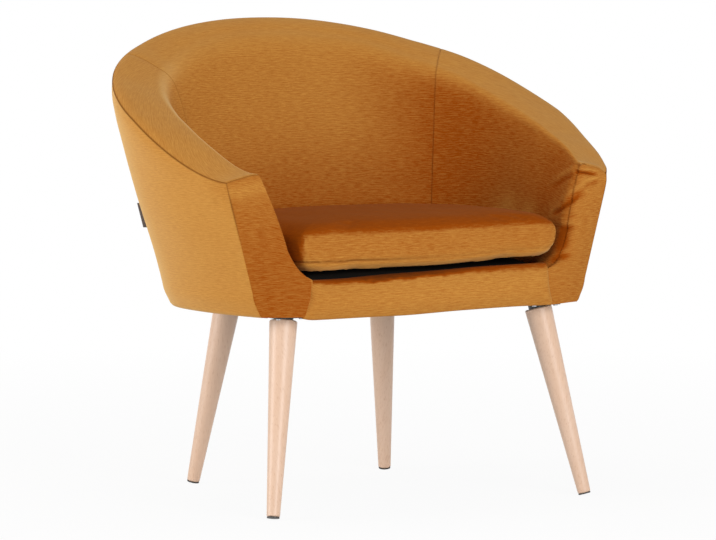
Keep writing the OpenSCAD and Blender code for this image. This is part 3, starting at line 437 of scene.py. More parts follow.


# Creases of the cloth round the right arm's inner edge: line, width, depth, share of the lip, and shade, which is how
# strong the painted shade in the valley is; the lip also gets a painted highlight
CREASES = (
    (
        ((0.2858, -0.2259, 0.5044), (0.2910, -0.2360, 0.5040), (0.2996, -0.2391, 0.5031), (0.3175, -0.2372, 0.5000)),
        0.0022, 0.0040, 0.7, 1.3,
    ),
    (((0.2948, -0.2408, 0.4849), (0.3079, -0.2379, 0.4871), (0.3230, -0.2369, 0.4897)), 0.0032, 0.0018, 0.6, 0.40),
    (
        (
            (0.2653, -0.1925, 0.4380), (0.2619, -0.2172, 0.4459), (0.2662, -0.2306, 0.4544), (0.2732, -0.2398, 0.4617),
            (0.2900, -0.2429, 0.4720),
        ),
        0.0032, 0.0038, 0.8, 0.70,
    ),
    (
        (
            (0.2661, -0.2108, 0.4525), (0.2671, -0.2263, 0.4596), (0.2752, -0.2338, 0.4676), (0.2829, -0.2419, 0.4748),
            (0.2980, -0.2412, 0.4825),
        ),
        0.0038, 0.0030, 0.8, 0.40,
    ),
    (
        ((0.2545, -0.2280, 0.4160), (0.2562, -0.2347, 0.4166), (0.2610, -0.2444, 0.4186), (0.2720, -0.2480, 0.4190)),
        0.0040, 0.0026, 0.6, 0.30,
    ),
    (((0.2277, -0.2417, 0.3690), (0.2410, -0.2497, 0.3744), (0.2600, -0.2543, 0.3765)), 0.0050, 0.0024, 0.4, 0.60),
    (
        (
            (0.2858, -0.2259, 0.5044), (0.2822, -0.2144, 0.4977), (0.2838, -0.1948, 0.4904), (0.2813, -0.1814, 0.4835),
            (0.2794, -0.1664, 0.4769),
        ),
        0.0050, 0.0026, 0.8, 0.25,
    ),
)

# Patches of painted light and shade: painted light on the inside of the right arm, and painted shade, below 0, beside
# the cushion's right end. Middle, radius and how much paler (or, below 0, darker) it is painted
LIGHT_AND_SHADE_PATCHES = (
    ((0.2555, -0.2370, 0.4130), 0.0095, -0.40),
    ((0.2525, -0.2405, 0.4000), 0.0095, -0.50),
    ((0.2475, -0.2425, 0.3880), 0.0095, -0.50),
    ((0.2680, -0.0500, 0.4370), 0.026, 0.32),
    ((0.2700, -0.1100, 0.4330), 0.020, 0.28),
    ((0.2660, -0.1850, 0.4450), 0.014, 0.20),
)

# The soft dent of the cloth at the right mitre: middle, move and radius
DENT = (0.3430, -0.2350, 0.5080), (-0.0042, 0.0010, -0.0036), 0.013


def unit(ways):
    return ways / np.maximum(np.linalg.norm(ways, axis=2, keepdims=True), 1e-12)


def laid(columns, rows, spot, relief, edges, nap_and_shading, outward=1, foot=0, creases=(), meet=None):
    """A panel of cloth as a bmesh, and its points before they are pushed out: a grid laid at spot(column, row) and
    pushed out by relief(points). Its four edges, first and last column, first and last row, each roll over by a
    radius and a turn into a seam groove of some depth, darkened by some share for the velvet tucked into the seam
    and for painted shade in its groove. Its pile lies as nap(column, row) says, painted light and shade included,
    and the painted light and shade of the patches and of the creases are added to it. Its grain runs level from
    the foot row, the creases run on over its seams, and its last column is drawn to the line that it meets."""
    bm = bmesh.new()
    across, up = len(columns) - 1, len(rows) - 1
    bmesh.ops.create_grid(bm, x_segments=across, y_segments=up, size=0.5)
    uv = bm.loops.layers.uv.new("cloth")
    seam, lie_and_shading = bm.verts.layers.float.new("seam"), bm.verts.layers.float.new("nap_and_shading")
    points = np.array([[spot(c, r) for r in rows] for c in columns])
    slope_c, slope_r = np.gradient(points, axis=0), np.gradient(points, axis=1)
    normals = unit(np.cross(slope_c, slope_r) * outward)
    way_c, way_r = unit(slope_c), unit(slope_r)
    run_r = np.pad(np.cumsum(np.linalg.norm(np.diff(points, axis=1), axis=2), axis=1), ((0, 0), (1, 0)))
    run_c = np.pad(np.cumsum(np.linalg.norm(np.diff(points, axis=0), axis=2), axis=0), ((1, 0), (0, 0)))
    to_end = run_c[-1:] - run_c
    sides = (run_c, way_c, True), (to_end, -way_c, True), (run_r, way_r, False), (run_r[:, -1:] - run_r, -way_r, False)
    near = np.zeros_like(run_c)
    free = np.ones_like(run_c)
    moved = points.copy()
    for edge, (d, inward, level) in zip(edges, sides):
        if edge is None:
            continue
        radius, turn, groove, shade = (np.broadcast_to(v, near.shape) for v in edge)
        moved, normals = sewn(moved, normals, inward, d, radius, turn, groove, level)
        # The seam's darkening: the velvet tucked into the seam, and painted shade in its groove
        near = np.maximum(near, shade * np.exp(-((d / SEAM_SHADE_W) ** 2)))
        free = np.minimum(free, np.clip(d / (radius + 0.012), 0, 1))
    normals = unit(normals)
    if meet is not None:
        line = meet[np.argsort(meet[:, 2])]
        spots = moved[-1]
        gap = np.stack([np.interp(spots[:, 2], line[:, 2], line[:, k]) - spots[:, k] for k in (0, 1)], axis=1)
        hold = np.minimum((spots[:, 2] - line[0, 2]) / 0.015, (line[-1, 2] - spots[:, 2]) / 0.004)
        gap *= np.clip(hold, 0, 1)[:, None]
        moved[:, :, :2] += gap[None] * (np.clip(1 - to_end / 0.03, 0, 1) ** 2)[..., None]
    smooth = moved.copy()
    push = relief(points.reshape(-1, 3)) * free.ravel()
    spots = moved.reshape(-1, 3)
    # Painted light and shade: the patches, and on each crease painted shade in the valley and a painted highlight on
    # the lip
    pile = sum(paler * np.exp(-np.sum((spots - at) ** 2, axis=1) / radius**2) for at, radius, paler in LIGHT_AND_SHADE_PATCHES)
    for line, width, depth, lip, painted_shade in creases:
        valley, ridge = fold(spots, normals.reshape(-1, 3), line, width)
        push += depth * (lip * ridge - valley)
        pile += 0.30 * ridge * lip - painted_shade * valley
    moved += normals * push.reshape(near.shape)[..., None]
    pile = pile.reshape(near.shape)
    at, move, radius = DENT
    moved += np.exp(-(np.linalg.norm(moved - at, axis=2, keepdims=True) ** 2) / radius**2) * np.array(move)
    middle = run_c[:, up // 2]
    index = {v: (round((v.co.x + 0.5) * across), round((v.co.y + 0.5) * up)) for v in bm.verts}
    for face in bm.faces:
        for loop in face.loops:
            i, j = index[loop.vert]
            loop[uv].uv = (middle[i] + columns[0] * 7, run_r[i, j] - run_r[i, foot])
    for v, (i, j) in index.items():
        v.co = moved[i, j]
        v[seam], v[lie_and_shading] = near[i, j], nap_and_shading(columns[i], rows[j]) + pile[i, j]
    if outward < 0:
        bmesh.ops.reverse_faces(bm, faces=bm.faces[:])
    return bm, smooth


def linked(name, data):
    """A new object of some data, in the scene."""
    thing = bpy.data.objects.new(name, data)
    bpy.context.scene.collection.objects.link(thing)
    return thing


def finish_piece(bm, name, body, finish, thick=0.0, smooth=True):
    """Makes an object of a bmesh, gives it its finish, and lets it ride on a body of the frame."""
    mesh = bpy.data.meshes.new(name)
    for face in bm.faces:
        face.smooth = smooth
    for edge in bm.edges:
        edge.smooth = not edge.is_boundary
    bm.to_mesh(mesh)
    bm.free()
    piece = linked(name, mesh)
    mesh.materials.append(finish)
    if thick:
        wall = piece.modifiers.new("Thickness", "SOLIDIFY")
        wall.thickness, wall.offset = thick, -1
    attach(piece, body)
    return piece


# Shader maths


class Wire:
    """A value or a link in a material. Maths on wires adds Math nodes; maths on numbers stays in Python."""

    def __init__(self, net, socket):
        self.net, self.socket = net, socket

    def _do(self, operation, *others):
        return self.net.add("ShaderNodeMath", {"operation": operation}, dict(enumerate(others)))

    def __add__(self, other):
        return self._do("ADD", self, other)

    def __sub__(self, other):
        return self._do("SUBTRACT", self, other)

    def __rsub__(self, other):
        return self._do("SUBTRACT", other, self)

    def __mul__(self, other):
        return self._do("MULTIPLY", self, other)

    def __pow__(self, other):
        return self._do("POWER", self, other)

    __radd__, __rmul__ = __add__, __mul__

    def clamped(self):
        return self._do("MINIMUM", self._do("MAXIMUM", self, 0.0), 1.0)


class Net:
    """The nodes of a material or of the world."""

    def __init__(self, owner, output="ShaderNodeOutputMaterial"):
        self.owner, self.look = owner, values("finishes")
        owner.use_nodes = True
        self.nodes, self.links = owner.node_tree.nodes, owner.node_tree.links
        self.nodes.clear()
        self.out = self.nodes.new(output)

    def add(self, kind, settings=None, sockets=None, output=0):
        """One shader node: its settings first, then the values or links of its sockets."""
        node = self.nodes.new(kind)
        for key, value in (settings or {}).items():
            setattr(node, key, value)
        for key, value in (sockets or {}).items():
            if isinstance(value, Wire):
                self.links.new(value.socket, node.inputs[key])
            else:
                node.inputs[key].default_value = value
        return Wire(self, node.outputs[output])

    def object_place(self):
        return self.add("ShaderNodeTexCoord", output=3)

    def cloth_place(self):
        return self.add("ShaderNodeUVMap", {"uv_map": "cloth"})

    def marked(self, name):
        return self.add("ShaderNodeAttribute", {"attribute_name": name}, output=2)

    def mix(self, a, b, factor):
        a, b = (c if isinstance(c, Wire) else (*c, 1) for c in (a, b))
        return self.add("ShaderNodeMix", {"data_type": "RGBA"}, {0: factor, 6: a, 7: b}, output=2)

    def noise(self, where, scale, detail=2.0, rough=0.5, bend=0.0):
        sockets = {"Vector": where, "Scale": scale, "Detail": detail, "Roughness": rough, "Distortion": bend}
        return self.add("ShaderNodeTexNoise", sockets=sockets)

    def ribs(self, where, way, scale, bend):
        sockets = {"Vector": where, "Scale": scale, "Distortion": bend}
        return self.add("ShaderNodeTexWave", {"bands_direction": way}, sockets)

    def cells(self, where, scale):
        return self.add("ShaderNodeTexVoronoi", {"feature": "F1"}, {"Vector": where, "Scale": scale})

    def stretched(self, where, by, turn=(0.0, 0.0, 0.0)):
        return self.add("ShaderNodeMapping", sockets={"Vector": where, "Scale": by, "Rotation": turn})

    def in_view(self):
        """1 where the camera sees a thing itself or its mirror image, and 0 for the light it throws."""
        camera_ray, glossy_ray = (self.add("ShaderNodeLightPath", output=k) for k in (0, 3))
        return (camera_ray + glossy_ray).clamped()

    def shown(self, shader):
        self.links.new(shader.socket, self.out.inputs["Surface"])

    def surface(self, base, rough, height, strength, distance, **constants):
        """The finish itself, with a bump of that height field."""
        shader = self.add("ShaderNodeBsdfPrincipled", sockets={"Base Color": base, "Roughness": rough, **constants})
        normal = self.add("ShaderNodeBump", sockets={"Height": height, "Strength": strength, "Distance": distance})
        self.links.new(normal.socket, shader.socket.node.inputs["Normal"])
        self.shown(shader)
        return self.owner


def made(name, maker):
    """A finish by its name, made once. The frame's own plain materials have the bare names."""
    name = "chair_" + name
    return bpy.data.materials.get(name) or maker(Net(bpy.data.materials.new(name)))


def velvet(net):
    """Short-piled velvet: the attribute "nap" holds how its pile lies, from 1, flat, to 0, seen from its tips, with
    painted light and shade added on top. Below 0 it is painted shade, as in a fold or under the cushion."""
    look, cloth = net.look, net.cloth_place()
    crinkle = net.noise(net.stretched(cloth, (75, 480, 1)), 1.0, 1.0, 0.5, 0.3)
    waves = {"bands_direction": "Y", "wave_profile": "SIN"}
    bends = {"Vector": net.stretched(cloth, (26, 104, 1)), "Scale": 1.0, "Distortion": 9.0, "Detail": 2.0}
    ripple = net.add("ShaderNodeTexWave", waves, {**bends, "Detail Scale": 1.3}, output=1)
    threads = net.noise(net.stretched(cloth, (300, 1200, 1)), 1.0, 1.0)
    patches = net.noise(net.stretched(cloth, (9, 14, 1)), 1.0, 3.0, 0.5, 0.3)
    nap_and_shading = net.marked("nap_and_shading")
    grain = (crinkle - 0.5) * 0.70 + (ripple - 0.5) * 0.14 + (threads - 0.5) * 0.45
    flat = ((nap_and_shading - 0.60) * 4.0).clamped()
    lie_and_shading = nap_and_shading + grain * (1.0 - flat * 0.3) + (patches - 0.5) * 0.16
    tone = net.mix(look.velvet_deep, look.velvet_brushed, lie_and_shading.clamped())
    # Painted sheen: a paler colour mixed in where the surface turns away from the view, mostly where the pile lies
    # flat
    facing = net.add("ShaderNodeLayerWeight", sockets={"Blend": 0.5}, output=1)
    tone = net.mix(tone, look.velvet_painted_sheen, facing**2.9 * (flat * 0.97 + 0.03))
    # Painted shade where the attribute falls below about 0, with some of the crinkle in it: folds, hollows, the
    # border's top and the cushion's top
    deep = ((0.02 - nap_and_shading) * 10.0).clamped()
    tone = net.mix(tone, look.velvet_seam_and_shade, ((0.5 - crinkle) * 0.8 * deep - nap_and_shading - 0.06).clamped())
    # Seams: the velvet tucked into them, and painted shade in their grooves
    tone = net.mix(tone, look.velvet_seam_and_shade, (net.marked("seam") * 0.95).clamped())
    height = crinkle * 0.5 + ripple * 0.3 + threads * 0.2
    sheen = {"Sheen Weight": 0.04, "Sheen Roughness": 0.35, "Sheen Tint": (1.0, 0.75, 0.4, 1)}
    return net.surface(tone, 0.7, height, 0.40, 0.0007, **sheen, **{"Specular IOR Level": 0.0})


def beech_of(turn):
    """Beech whose grain runs along a leg that is turned that much from upright."""

    def maker(net):
        look = net.look
        fibre = net.stretched(net.object_place(), (1, 1, 1), turn)
        bands = net.noise(net.stretched(fibre, (34, 34, 1.6)), 1.0, 3.0, 0.5, 0.5)
        lines = net.noise(net.stretched(fibre, (420, 420, 9)), 1.0)
        flecks = net.noise(net.stretched(fibre, (760, 760, 95)), 1.0, 1.0, 0.4)
        tone = net.mix(look.beech, (0.84, 0.60, 0.45), (bands * 1.6 - 0.3).clamped())
        tone = net.mix(tone, look.beech_dark, (lines * 0.34 - 0.08).clamped())
        tone = net.mix(tone, look.beech_dark, ((flecks - 0.60) * 9).clamped() * 0.42)
        coat = {"Coat Weight": 0.25, "Coat Roughness": 0.35}
        return net.surface(tone, 0.42, lines * 0.6 + flecks * 0.4, 0.18, 0.0003, **coat)

    return maker


def plywood(net):
    where = net.object_place()
    plies = net.ribs(where, "Z", 110.0, 0.6)
    grain = net.noise(net.stretched(where, (14, 160, 160)), 1.0, 3.0, 0.6, 0.4)
    tone = net.mix(net.look.plywood, (0.30, 0.17, 0.08), (plies * 0.35 + grain * 0.4 - 0.2).clamped())
    return net.surface(tone, 0.7, grain, 0.3, 0.0004)


def fibreboard(net):
    flecks = net.noise(net.object_place(), 420.0, 3.0, 0.7)
    return net.surface(net.mix(net.look.board, (0.32, 0.20, 0.11), flecks), 0.8, flecks, 0.3, 0.0003)


def lining(net):
    """Black spun cloth, pressed in small dots."""
    cloth = net.cloth_place()
    dots, fibres = net.cells(cloth, 620.0), net.noise(cloth, 1400.0, 2.0, 0.6)
    tone = net.mix(net.look.lining, (0.014, 0.012, 0.010), (fibres * 1.2 - 0.3).clamped())
    return net.surface(tone, 0.92, dots * 0.6 + fibres * 0.4, 0.5, 0.0004, **{"Specular IOR Level": 0.1})


def strap(net):
    ribs = net.ribs(net.object_place(), "DIAGONAL", 260.0, 0.2)
    return net.surface(net.mix((0.012, 0.012, 0.013), (0.075, 0.072, 0.070), ribs), 0.8, ribs, 0.5, 0.0004)


def black_steel(net):
    peel = net.noise(net.object_place(), 900.0)
    tone = net.mix(net.look.steel, (0.05, 0.05, 0.05), (peel * 1.4 - 0.5).clamped())
    return net.surface(tone, peel * 0.2 + 0.34, peel, 0.15, 0.0002, **{"Coat Weight": 0.2})


def zinc(net):
    spangle = net.cells(net.object_place(), 480.0)
    tone = net.mix(net.look.zinc, (0.42, 0.43, 0.45), spangle)
    return net.surface(tone, spangle * 0.2 + 0.28, spangle, 0.1, 0.0001, Metallic=1.0)


def glide(net):
    wear = net.noise(net.object_place(), 240.0, 3.0, 0.6)
    tone = net.mix((0.030, 0.026, 0.022), (0.10, 0.09, 0.08), (wear * 1.8 - 0.8).clamped())
    return net.surface(tone, wear * 0.3 + 0.4, wear, 0.2, 0.0002)


def tag_tape(net):
    rows = net.ribs(net.cloth_place(), "Y", 420.0, 0.3)
    tone = net.mix((0.10, 0.085, 0.080), (0.20, 0.18, 0.17), rows)
    return net.surface(tone, 0.75, rows, 0.4, 0.0003, **{"Sheen Weight": 0.1})


def zip_moulding(net):
    flow = net.noise(net.object_place(), 700.0)
    return net.surface(net.mix((0.020, 0.019, 0.018), (0.06, 0.055, 0.05), flow), 0.45, flow, 0.1, 0.0001)


def zip_tape(net):
    rows = net.ribs(net.object_place(), "X", 380.0, 0.4)
    tone = net.mix((0.10, 0.040, 0.012), (0.22, 0.095, 0.028), rows)
    return net.surface(tone, 0.8, rows, 0.4, 0.0003, **{"Sheen Weight": 0.1})


# Pieces


class Piece:
    """What every operator of this file shares."""

    bl_options = {"REGISTER", "UNDO"}


def panels(side, seam, flat, left_tip, right_tip):
    """The back, left and right panels of the wall: name, first and last share, and how these ends are sewn."""
    return (
        (side + "_back", -seam, seam, (flat, flat)),
        (side + "_left", -1.0, -seam, (left_tip, flat)),
        (side + "_right", seam, 1.0, (flat, right_tip)),
    )


def velvet_piece(bm, name, body="chair", thick=VELVET_T):
    return finish_piece(bm, name, body, made("velvet", velvet), thick)


class CHAIR_OT_outside_covers(Piece, bpy.types.Operator):
    """Outside panels of velvet, sewn together at two upright seams."""

    bl_idname = "chair.outside_covers"
    bl_label = "Outside covers"

    mesh_size = 0.006

    def execute(self, context):
        wall = Wall()
        run = wall.outline
        rows = [0, 0.5, 1, 1.4, 1.7, 2, 2.5, 3, 3.5, 4, 4.33, 4.66]
        rows += [5 + 0.25 * i for i in range(26)] + [11.4, 11.55, 11.68, 11.78, 11.86, 11.93, 12]
        tip_path = wall.outside_path(1)
        tip = wall.tip_edge([along(tip_path, r)[1] for r in rows])

        # Pile flat and pale all over, a little darker at the top near the arm tips
        def nap_and_shading(c, r):
            return 0.80 - 0.16 * ease(0.90, 1, abs(c)) * ease(8, 12, r)

        def relief(points):
            return lumps(points, 0.11, 0.0012, 3.0) * np.clip((points[:, 2] - 0.31) / 0.03, 0, 1)

        for name, start, end, ends in panels("outside", wall.outside_seam, (0.0015, 88, 0.0007, 0.5), tip, tip):
            columns = [start + x / run for x in stops((end - start) * run, self.mesh_size)]
            edges = *ends, None, wall.rim_edge(columns)
            bm, _ = laid(columns, rows, wall.laid_along(wall.outside_path, columns), relief, edges, nap_and_shading, -1)
            piece = velvet_piece(bm, name)
            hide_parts(name.replace("outside_", "outside_cover_"))
        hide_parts("base_padding")
        return {"FINISHED"}


class CHAIR_OT_inside_covers(Piece, bpy.types.Operator):
    """Inside panels of velvet, which run up the inside and over the rim to its outer seam."""

    bl_idname = "chair.inside_covers"
    bl_label = "Inside covers"

    mesh_size, creased_mesh_size = 0.0045, 0.0030

    def execute(self, context):
        wall = Wall()
        run = wall.outline
        rows = [0, 0.06, 0.14, 0.25, 0.4, 0.6, 0.8, 1, 1.2, 1.4, 1.6, 1.8]
        rows += [2 + 0.2 * i for i in range(20)] + [6 + i / 14 for i in range(14)]
        rows += [7 + i / 16 for i in range(32)] + [9 + i / 7 for i in range(22)]
        over_band = np.array([[1 - ease(3.5, 6.0, r) for r in rows]])
        tip_path = wall.inside_path(1)
        turns = np.array([[wall.inner_turn(along(tip_path, min(r, 11))[1]) for r in rows]])
        turns = share(turns, 45, over_band)
        left_tip = share(0.004, 0.005, over_band), turns, GROOVE, share(0.0, 0.8, over_band)
        right_tip = share(0.018, 0.008, over_band), turns, 0.0002 + 0.0001 * over_band, share(0.0, 0.6, over_band)

        def nap_and_shading(c, r):
            """Pile flat and pale on the rim band, and darker down the inside and round to the right, partly how the
            pile lies and partly painted shade; a painted highlight along the crease on the left, a paler band across
            the right side, and the arm front's value at the right tip.
            """
            face = share(share(0.60, 0.0, ease(7.0, 10.4, r)), 0.11, ease(0.10, 0.45, c))
            face = share(face, 0.28, ease(0.88, 1, c)) + 0.12 * bump(0.5, 0.72, 0.95, c)
            return share(0.70, face, ease(3.6, 6.6, r)) + 0.14 * bump(3, 4.2, 5.4, r) * ease(0.2, 0.4, -c)

        def relief(points):
            return lumps(points, 0.09, 0.0018, 7.0) + lumps(points, 0.035, 0.0005, 1.0)

        flat = 0.0012, 88, 0.0005, 0.30
        for name, start, end, ends in panels("inside", wall.inside_seam, flat, left_tip, right_tip):
            creases = CREASES if name == "inside_right" else ()
            size = self.creased_mesh_size if creases else self.mesh_size
            columns = [start + x / run for x in stops((end - start) * run, size)]
            edges = *ends, wall.rim_edge(columns), None
            spot = wall.laid_along(wall.inside_path, columns)
            bm, points = laid(columns, rows, spot, relief, edges, nap_and_shading, -1, -1, creases)
            if creases:
                Wall.right_edge = points[-6, [j for j, r in enumerate(rows) if 5.0 <= r <= 11.0]]
            piece = velvet_piece(bm, name)
            foam_node = "back_foam" if name == "inside_back" else name.replace("inside_", "arm_foam_")
            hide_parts(name.replace("inside_", "inside_cover_"), foam_node)
        return {"FINISHED"}


class CHAIR_OT_arm_fronts(Piece, bpy.types.Operator):
    """Front covers of the arms, sewn to the rim band at a mitre."""

    bl_idname = "chair.arm_fronts"
    bl_label = "Arm fronts"

    # Rough width and height of an arm front, size of its mesh, its bulge and its lap under the border
    wide, tall, mesh_size, bulge, lap = 0.105, 0.210, 0.0026, 0.005, 0.003

    def execute(self, context):
        wall = Wall()
        t = wall.t
        path = wall.inside_path(-1)
        tip = [along(path, i / 12) for i in range(73)]
        tip_x = [wall.side_x(p[0]) for p in tip]
        tip_z = [p[1] for p in tip]
        low_z = tip_z[-1]

        def out_x(z):
            return wall.side_x(wall.outer(1, min(z, t.arm_h)))

        def in_x(z):
            if z < t.deck_h:
                return wall.border_x(z) - self.lap
            return wall.side_x(wall.inner(-1, min(z, low_z))) - self.lap * (1 - ease(t.deck_h, t.deck_h + 0.006, z))

        def spot(side):
            def at(c, r):
                top = np.interp(share(tip_x[0], tip_x[-1], c), tip_x[::-1], tip_z[::-1])
                z = share(t.bottom_h, top, r)
                toe = t.arm_toe * c * clamp((wall.tip_top - z) / (wall.tip_top - t.deck_h))
                bulge = self.bulge * math.sin(math.pi * c) * math.sin(math.pi * clamp(r))
                return np.array([side * share(out_x(z), in_x(z), c), wall.arm_front_y - toe - bulge, z])

            return at

        def relief(points):
            return lumps(points, 0.06, 0.0012, 5.0)

        columns = [x / self.wide for x in stops(self.wide, self.mesh_size)]
        rows = [x / self.tall for x in stops(self.tall, self.mesh_size)]
        by_border = np.array([[1 - ease(0.27, 0.31, r) for r in rows]])
        heights = [share(t.bottom_h, tip_z[0], r) for r in rows]
        inner_z = [max(t.deck_h, share(t.bottom_h, tip_z[60], r)) for r in rows]
        by_rim = np.array([[ease(0.95, 1, r) for r in rows]])
        turns = share(np.array([[wall.inner_turn(z) for z in inner_z]]), 45, by_rim)
        for name, side, inner_r, top_r, low, high in (
            ("arm_front_left", -1, 0.004, 0.005, 0.20, 0.42),
            ("arm_front_right", 1, 0.018, 0.008, 0.46, 0.50),
        ):
            inner_edge = share(inner_r, 0.0002, by_border), turns, (GROOVE if side < 0 else 0) * (1 - by_border), 0.0
            edges = wall.tip_edge(heights), inner_edge, None, (top_r, 45, GROOVE, 0.8)

            # Paler upwards. On the right, painted shade towards the inner edge, meeting the inside cover's value; on
            # the left, a painted highlight along the inner edge and a painted highlight in a band below the mitre
            def nap_and_shading(c, r):
                lie_and_shading = share(low, high, ease(0.35, 1, r))
                if side > 0:
                    return share(lie_and_shading, 0.28, ease(0.72, 1, c) * ease(0.3, 0.45, r))
                return lie_and_shading + 0.4 * ease(0.965, 1, c) + 0.22 * bump(0.82, 0.91, 1.0, r)

            creases, meet = (CREASES, Wall.right_edge) if side > 0 else ((), None)
            bm, _ = laid(columns, rows, spot(side), relief, edges, nap_and_shading, -side, creases=creases, meet=meet)
            piece = velvet_piece(bm, name)
            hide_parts(name.replace("front_", "front_cover_"), name.replace("front_", "front_pad_"))
        return {"FINISHED"}


class CHAIR_OT_front_border(Piece, bpy.types.Operator):
    """Padded border under the cushion, with its top edge turned in over the deck."""

    bl_idname = "chair.front_border"
    bl_label = "Front border"

    # Hidden tails of the cover, run of its rounded ends, their fall back, its bow, its sag on the left and its mesh
    tail, end_run, fall_back, bow, sag, mesh_size = 0.010, 0.020, 0.004, 0.003, 0.0040, 0.006

    def execute(self, context):
        wall = Wall()
        t = wall.t
        seam_y, half = wall.arm_front_y - t.arm_toe, wall.border_half_w
        end = self.end_run / half

        def path(c):
            """Section of the border. It sags on the left, and falls back to the arm fronts at its ends."""
            near_end = clamp((abs(c) - 1 + end) / end)
            full = math.sqrt(1 - near_end**2)
            low = t.bottom_h - self.sag * (1 - ease(-0.3, 0.5, c)) * full
            top = t.deck_h + share(-0.0010, 0.0085, ease(-1.0, 0.6, c))

            def face_y(k):
                proud = t.border_belly * math.sin(math.pi * k) ** 0.8 + self.bow * (1 - c * c)
                return seam_y - proud * full + self.fall_back * near_end**4

            face = [[face_y(k), share(low, top, k)] for k in (0, 0.12, 0.3, 0.5, 0.7, 0.84, 0.93)]
            last = [face_y(0.97) + 0.003, top - 0.0004]
            return np.array([[face[0][0] + self.tail, low], *face, last, [last[0] + self.tail, top + 0.001]])

        columns = [(x - half) / half for x in stops(2 * half, self.mesh_size)]
        rows = [0.5 + 0.125 * i for i in range(69)]
        paths = {c: path(c) for c in columns}

        def spot(c, r):
            y, z = along(paths[c], r)
            return np.array([c * wall.border_x(z), y, z])

        def relief(points):
            return lumps(points, 0.08, 0.0012, 9.0)

        def nap_and_shading(c, r):
            """Flat, and shaded by the cushion along a crumpled line near the top."""
            crumple = 0.5 * noise.noise(Vector((c * 9, r * 0.7, 0.3))) + 0.35 * noise.noise(Vector((c * 31, r, 2.0)))
            painted_shade = ease(5.9, 7.6, r + crumple * ease(5.0, 6.5, r)) * share(0.35, 1.0, bump(-1.1, -0.35, 0.95, c))
            return share(0.64, -0.95, painted_shade)

        side = 0.0002, 0, 0, 0.7
        bm, _ = laid(columns, rows, spot, relief, (side, side, None, None), nap_and_shading)
        piece = velvet_piece(bm, "front_border")
        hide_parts("border_cover", "border_foam")
        return {"FINISHED"}


def closed_line(points, count, smooth=True):
    """Evenly spaced points of the closed line through some points."""
    n = len(points)
    ring = [np.asarray(points[i % n], dtype=float) for i in range(-2, n + 3)]
    fine = [along(ring, 2 + i / 12) for i in range(12 * n)] if smooth else ring[2 : n + 2]
    fine.append(fine[0])
    runs = np.concatenate([[0], np.cumsum([np.linalg.norm(b - a) for a, b in zip(fine, fine[1:])])])
    at = np.linspace(0, runs[-1], count, endpoint=False)
    return np.stack([np.interp(at, runs, [p[k] for p in fine]) for k in (0, 1)], axis=1)


def ringed(outline, middle, profile, closed_foot=False):
    """A bmesh of rings of one outline, drawn in to its middle by the shares and at the heights of a profile. A fan
    of faces closes the last ring, and the first one too where the foot is closed."""
    bm = bmesh.new()
    around, up = len(outline), len(profile) - 1
    bmesh.ops.create_grid(bm, x_segments=around, y_segments=up, size=0.5)
    turned = sorted(outline, key=lambda p: math.atan2(p[1] - middle[1], p[0] - middle[0]))
    for v in bm.verts:
        k, z = profile[round((v.co.y + 0.5) * up)]
        x, y = share(middle, turned[round((v.co.x + 0.5) * around) % around], k)
        v.co = (x, y, z)
    bmesh.ops.remove_doubles(bm, verts=bm.verts[:], dist=1e-6)
    for z in [profile[0][1]] * closed_foot + [profile[-1][1]]:
        rim = [v for v in bm.verts if v.is_boundary and abs(v.co.z - z) < 1e-6]
        rim.sort(key=lambda v: math.atan2(v.co.y - middle[1], v.co.x - middle[0]))
        centre = bm.verts.new((sum(v.co.x for v in rim) / around, sum(v.co.y for v in rim) / around, z))
        for a, b in zip(rim, rim[1:] + rim[:1]):
            bm.faces.new((a, b, centre))
    bmesh.ops.recalc_face_normals(bm, faces=bm.faces[:])
    return bm


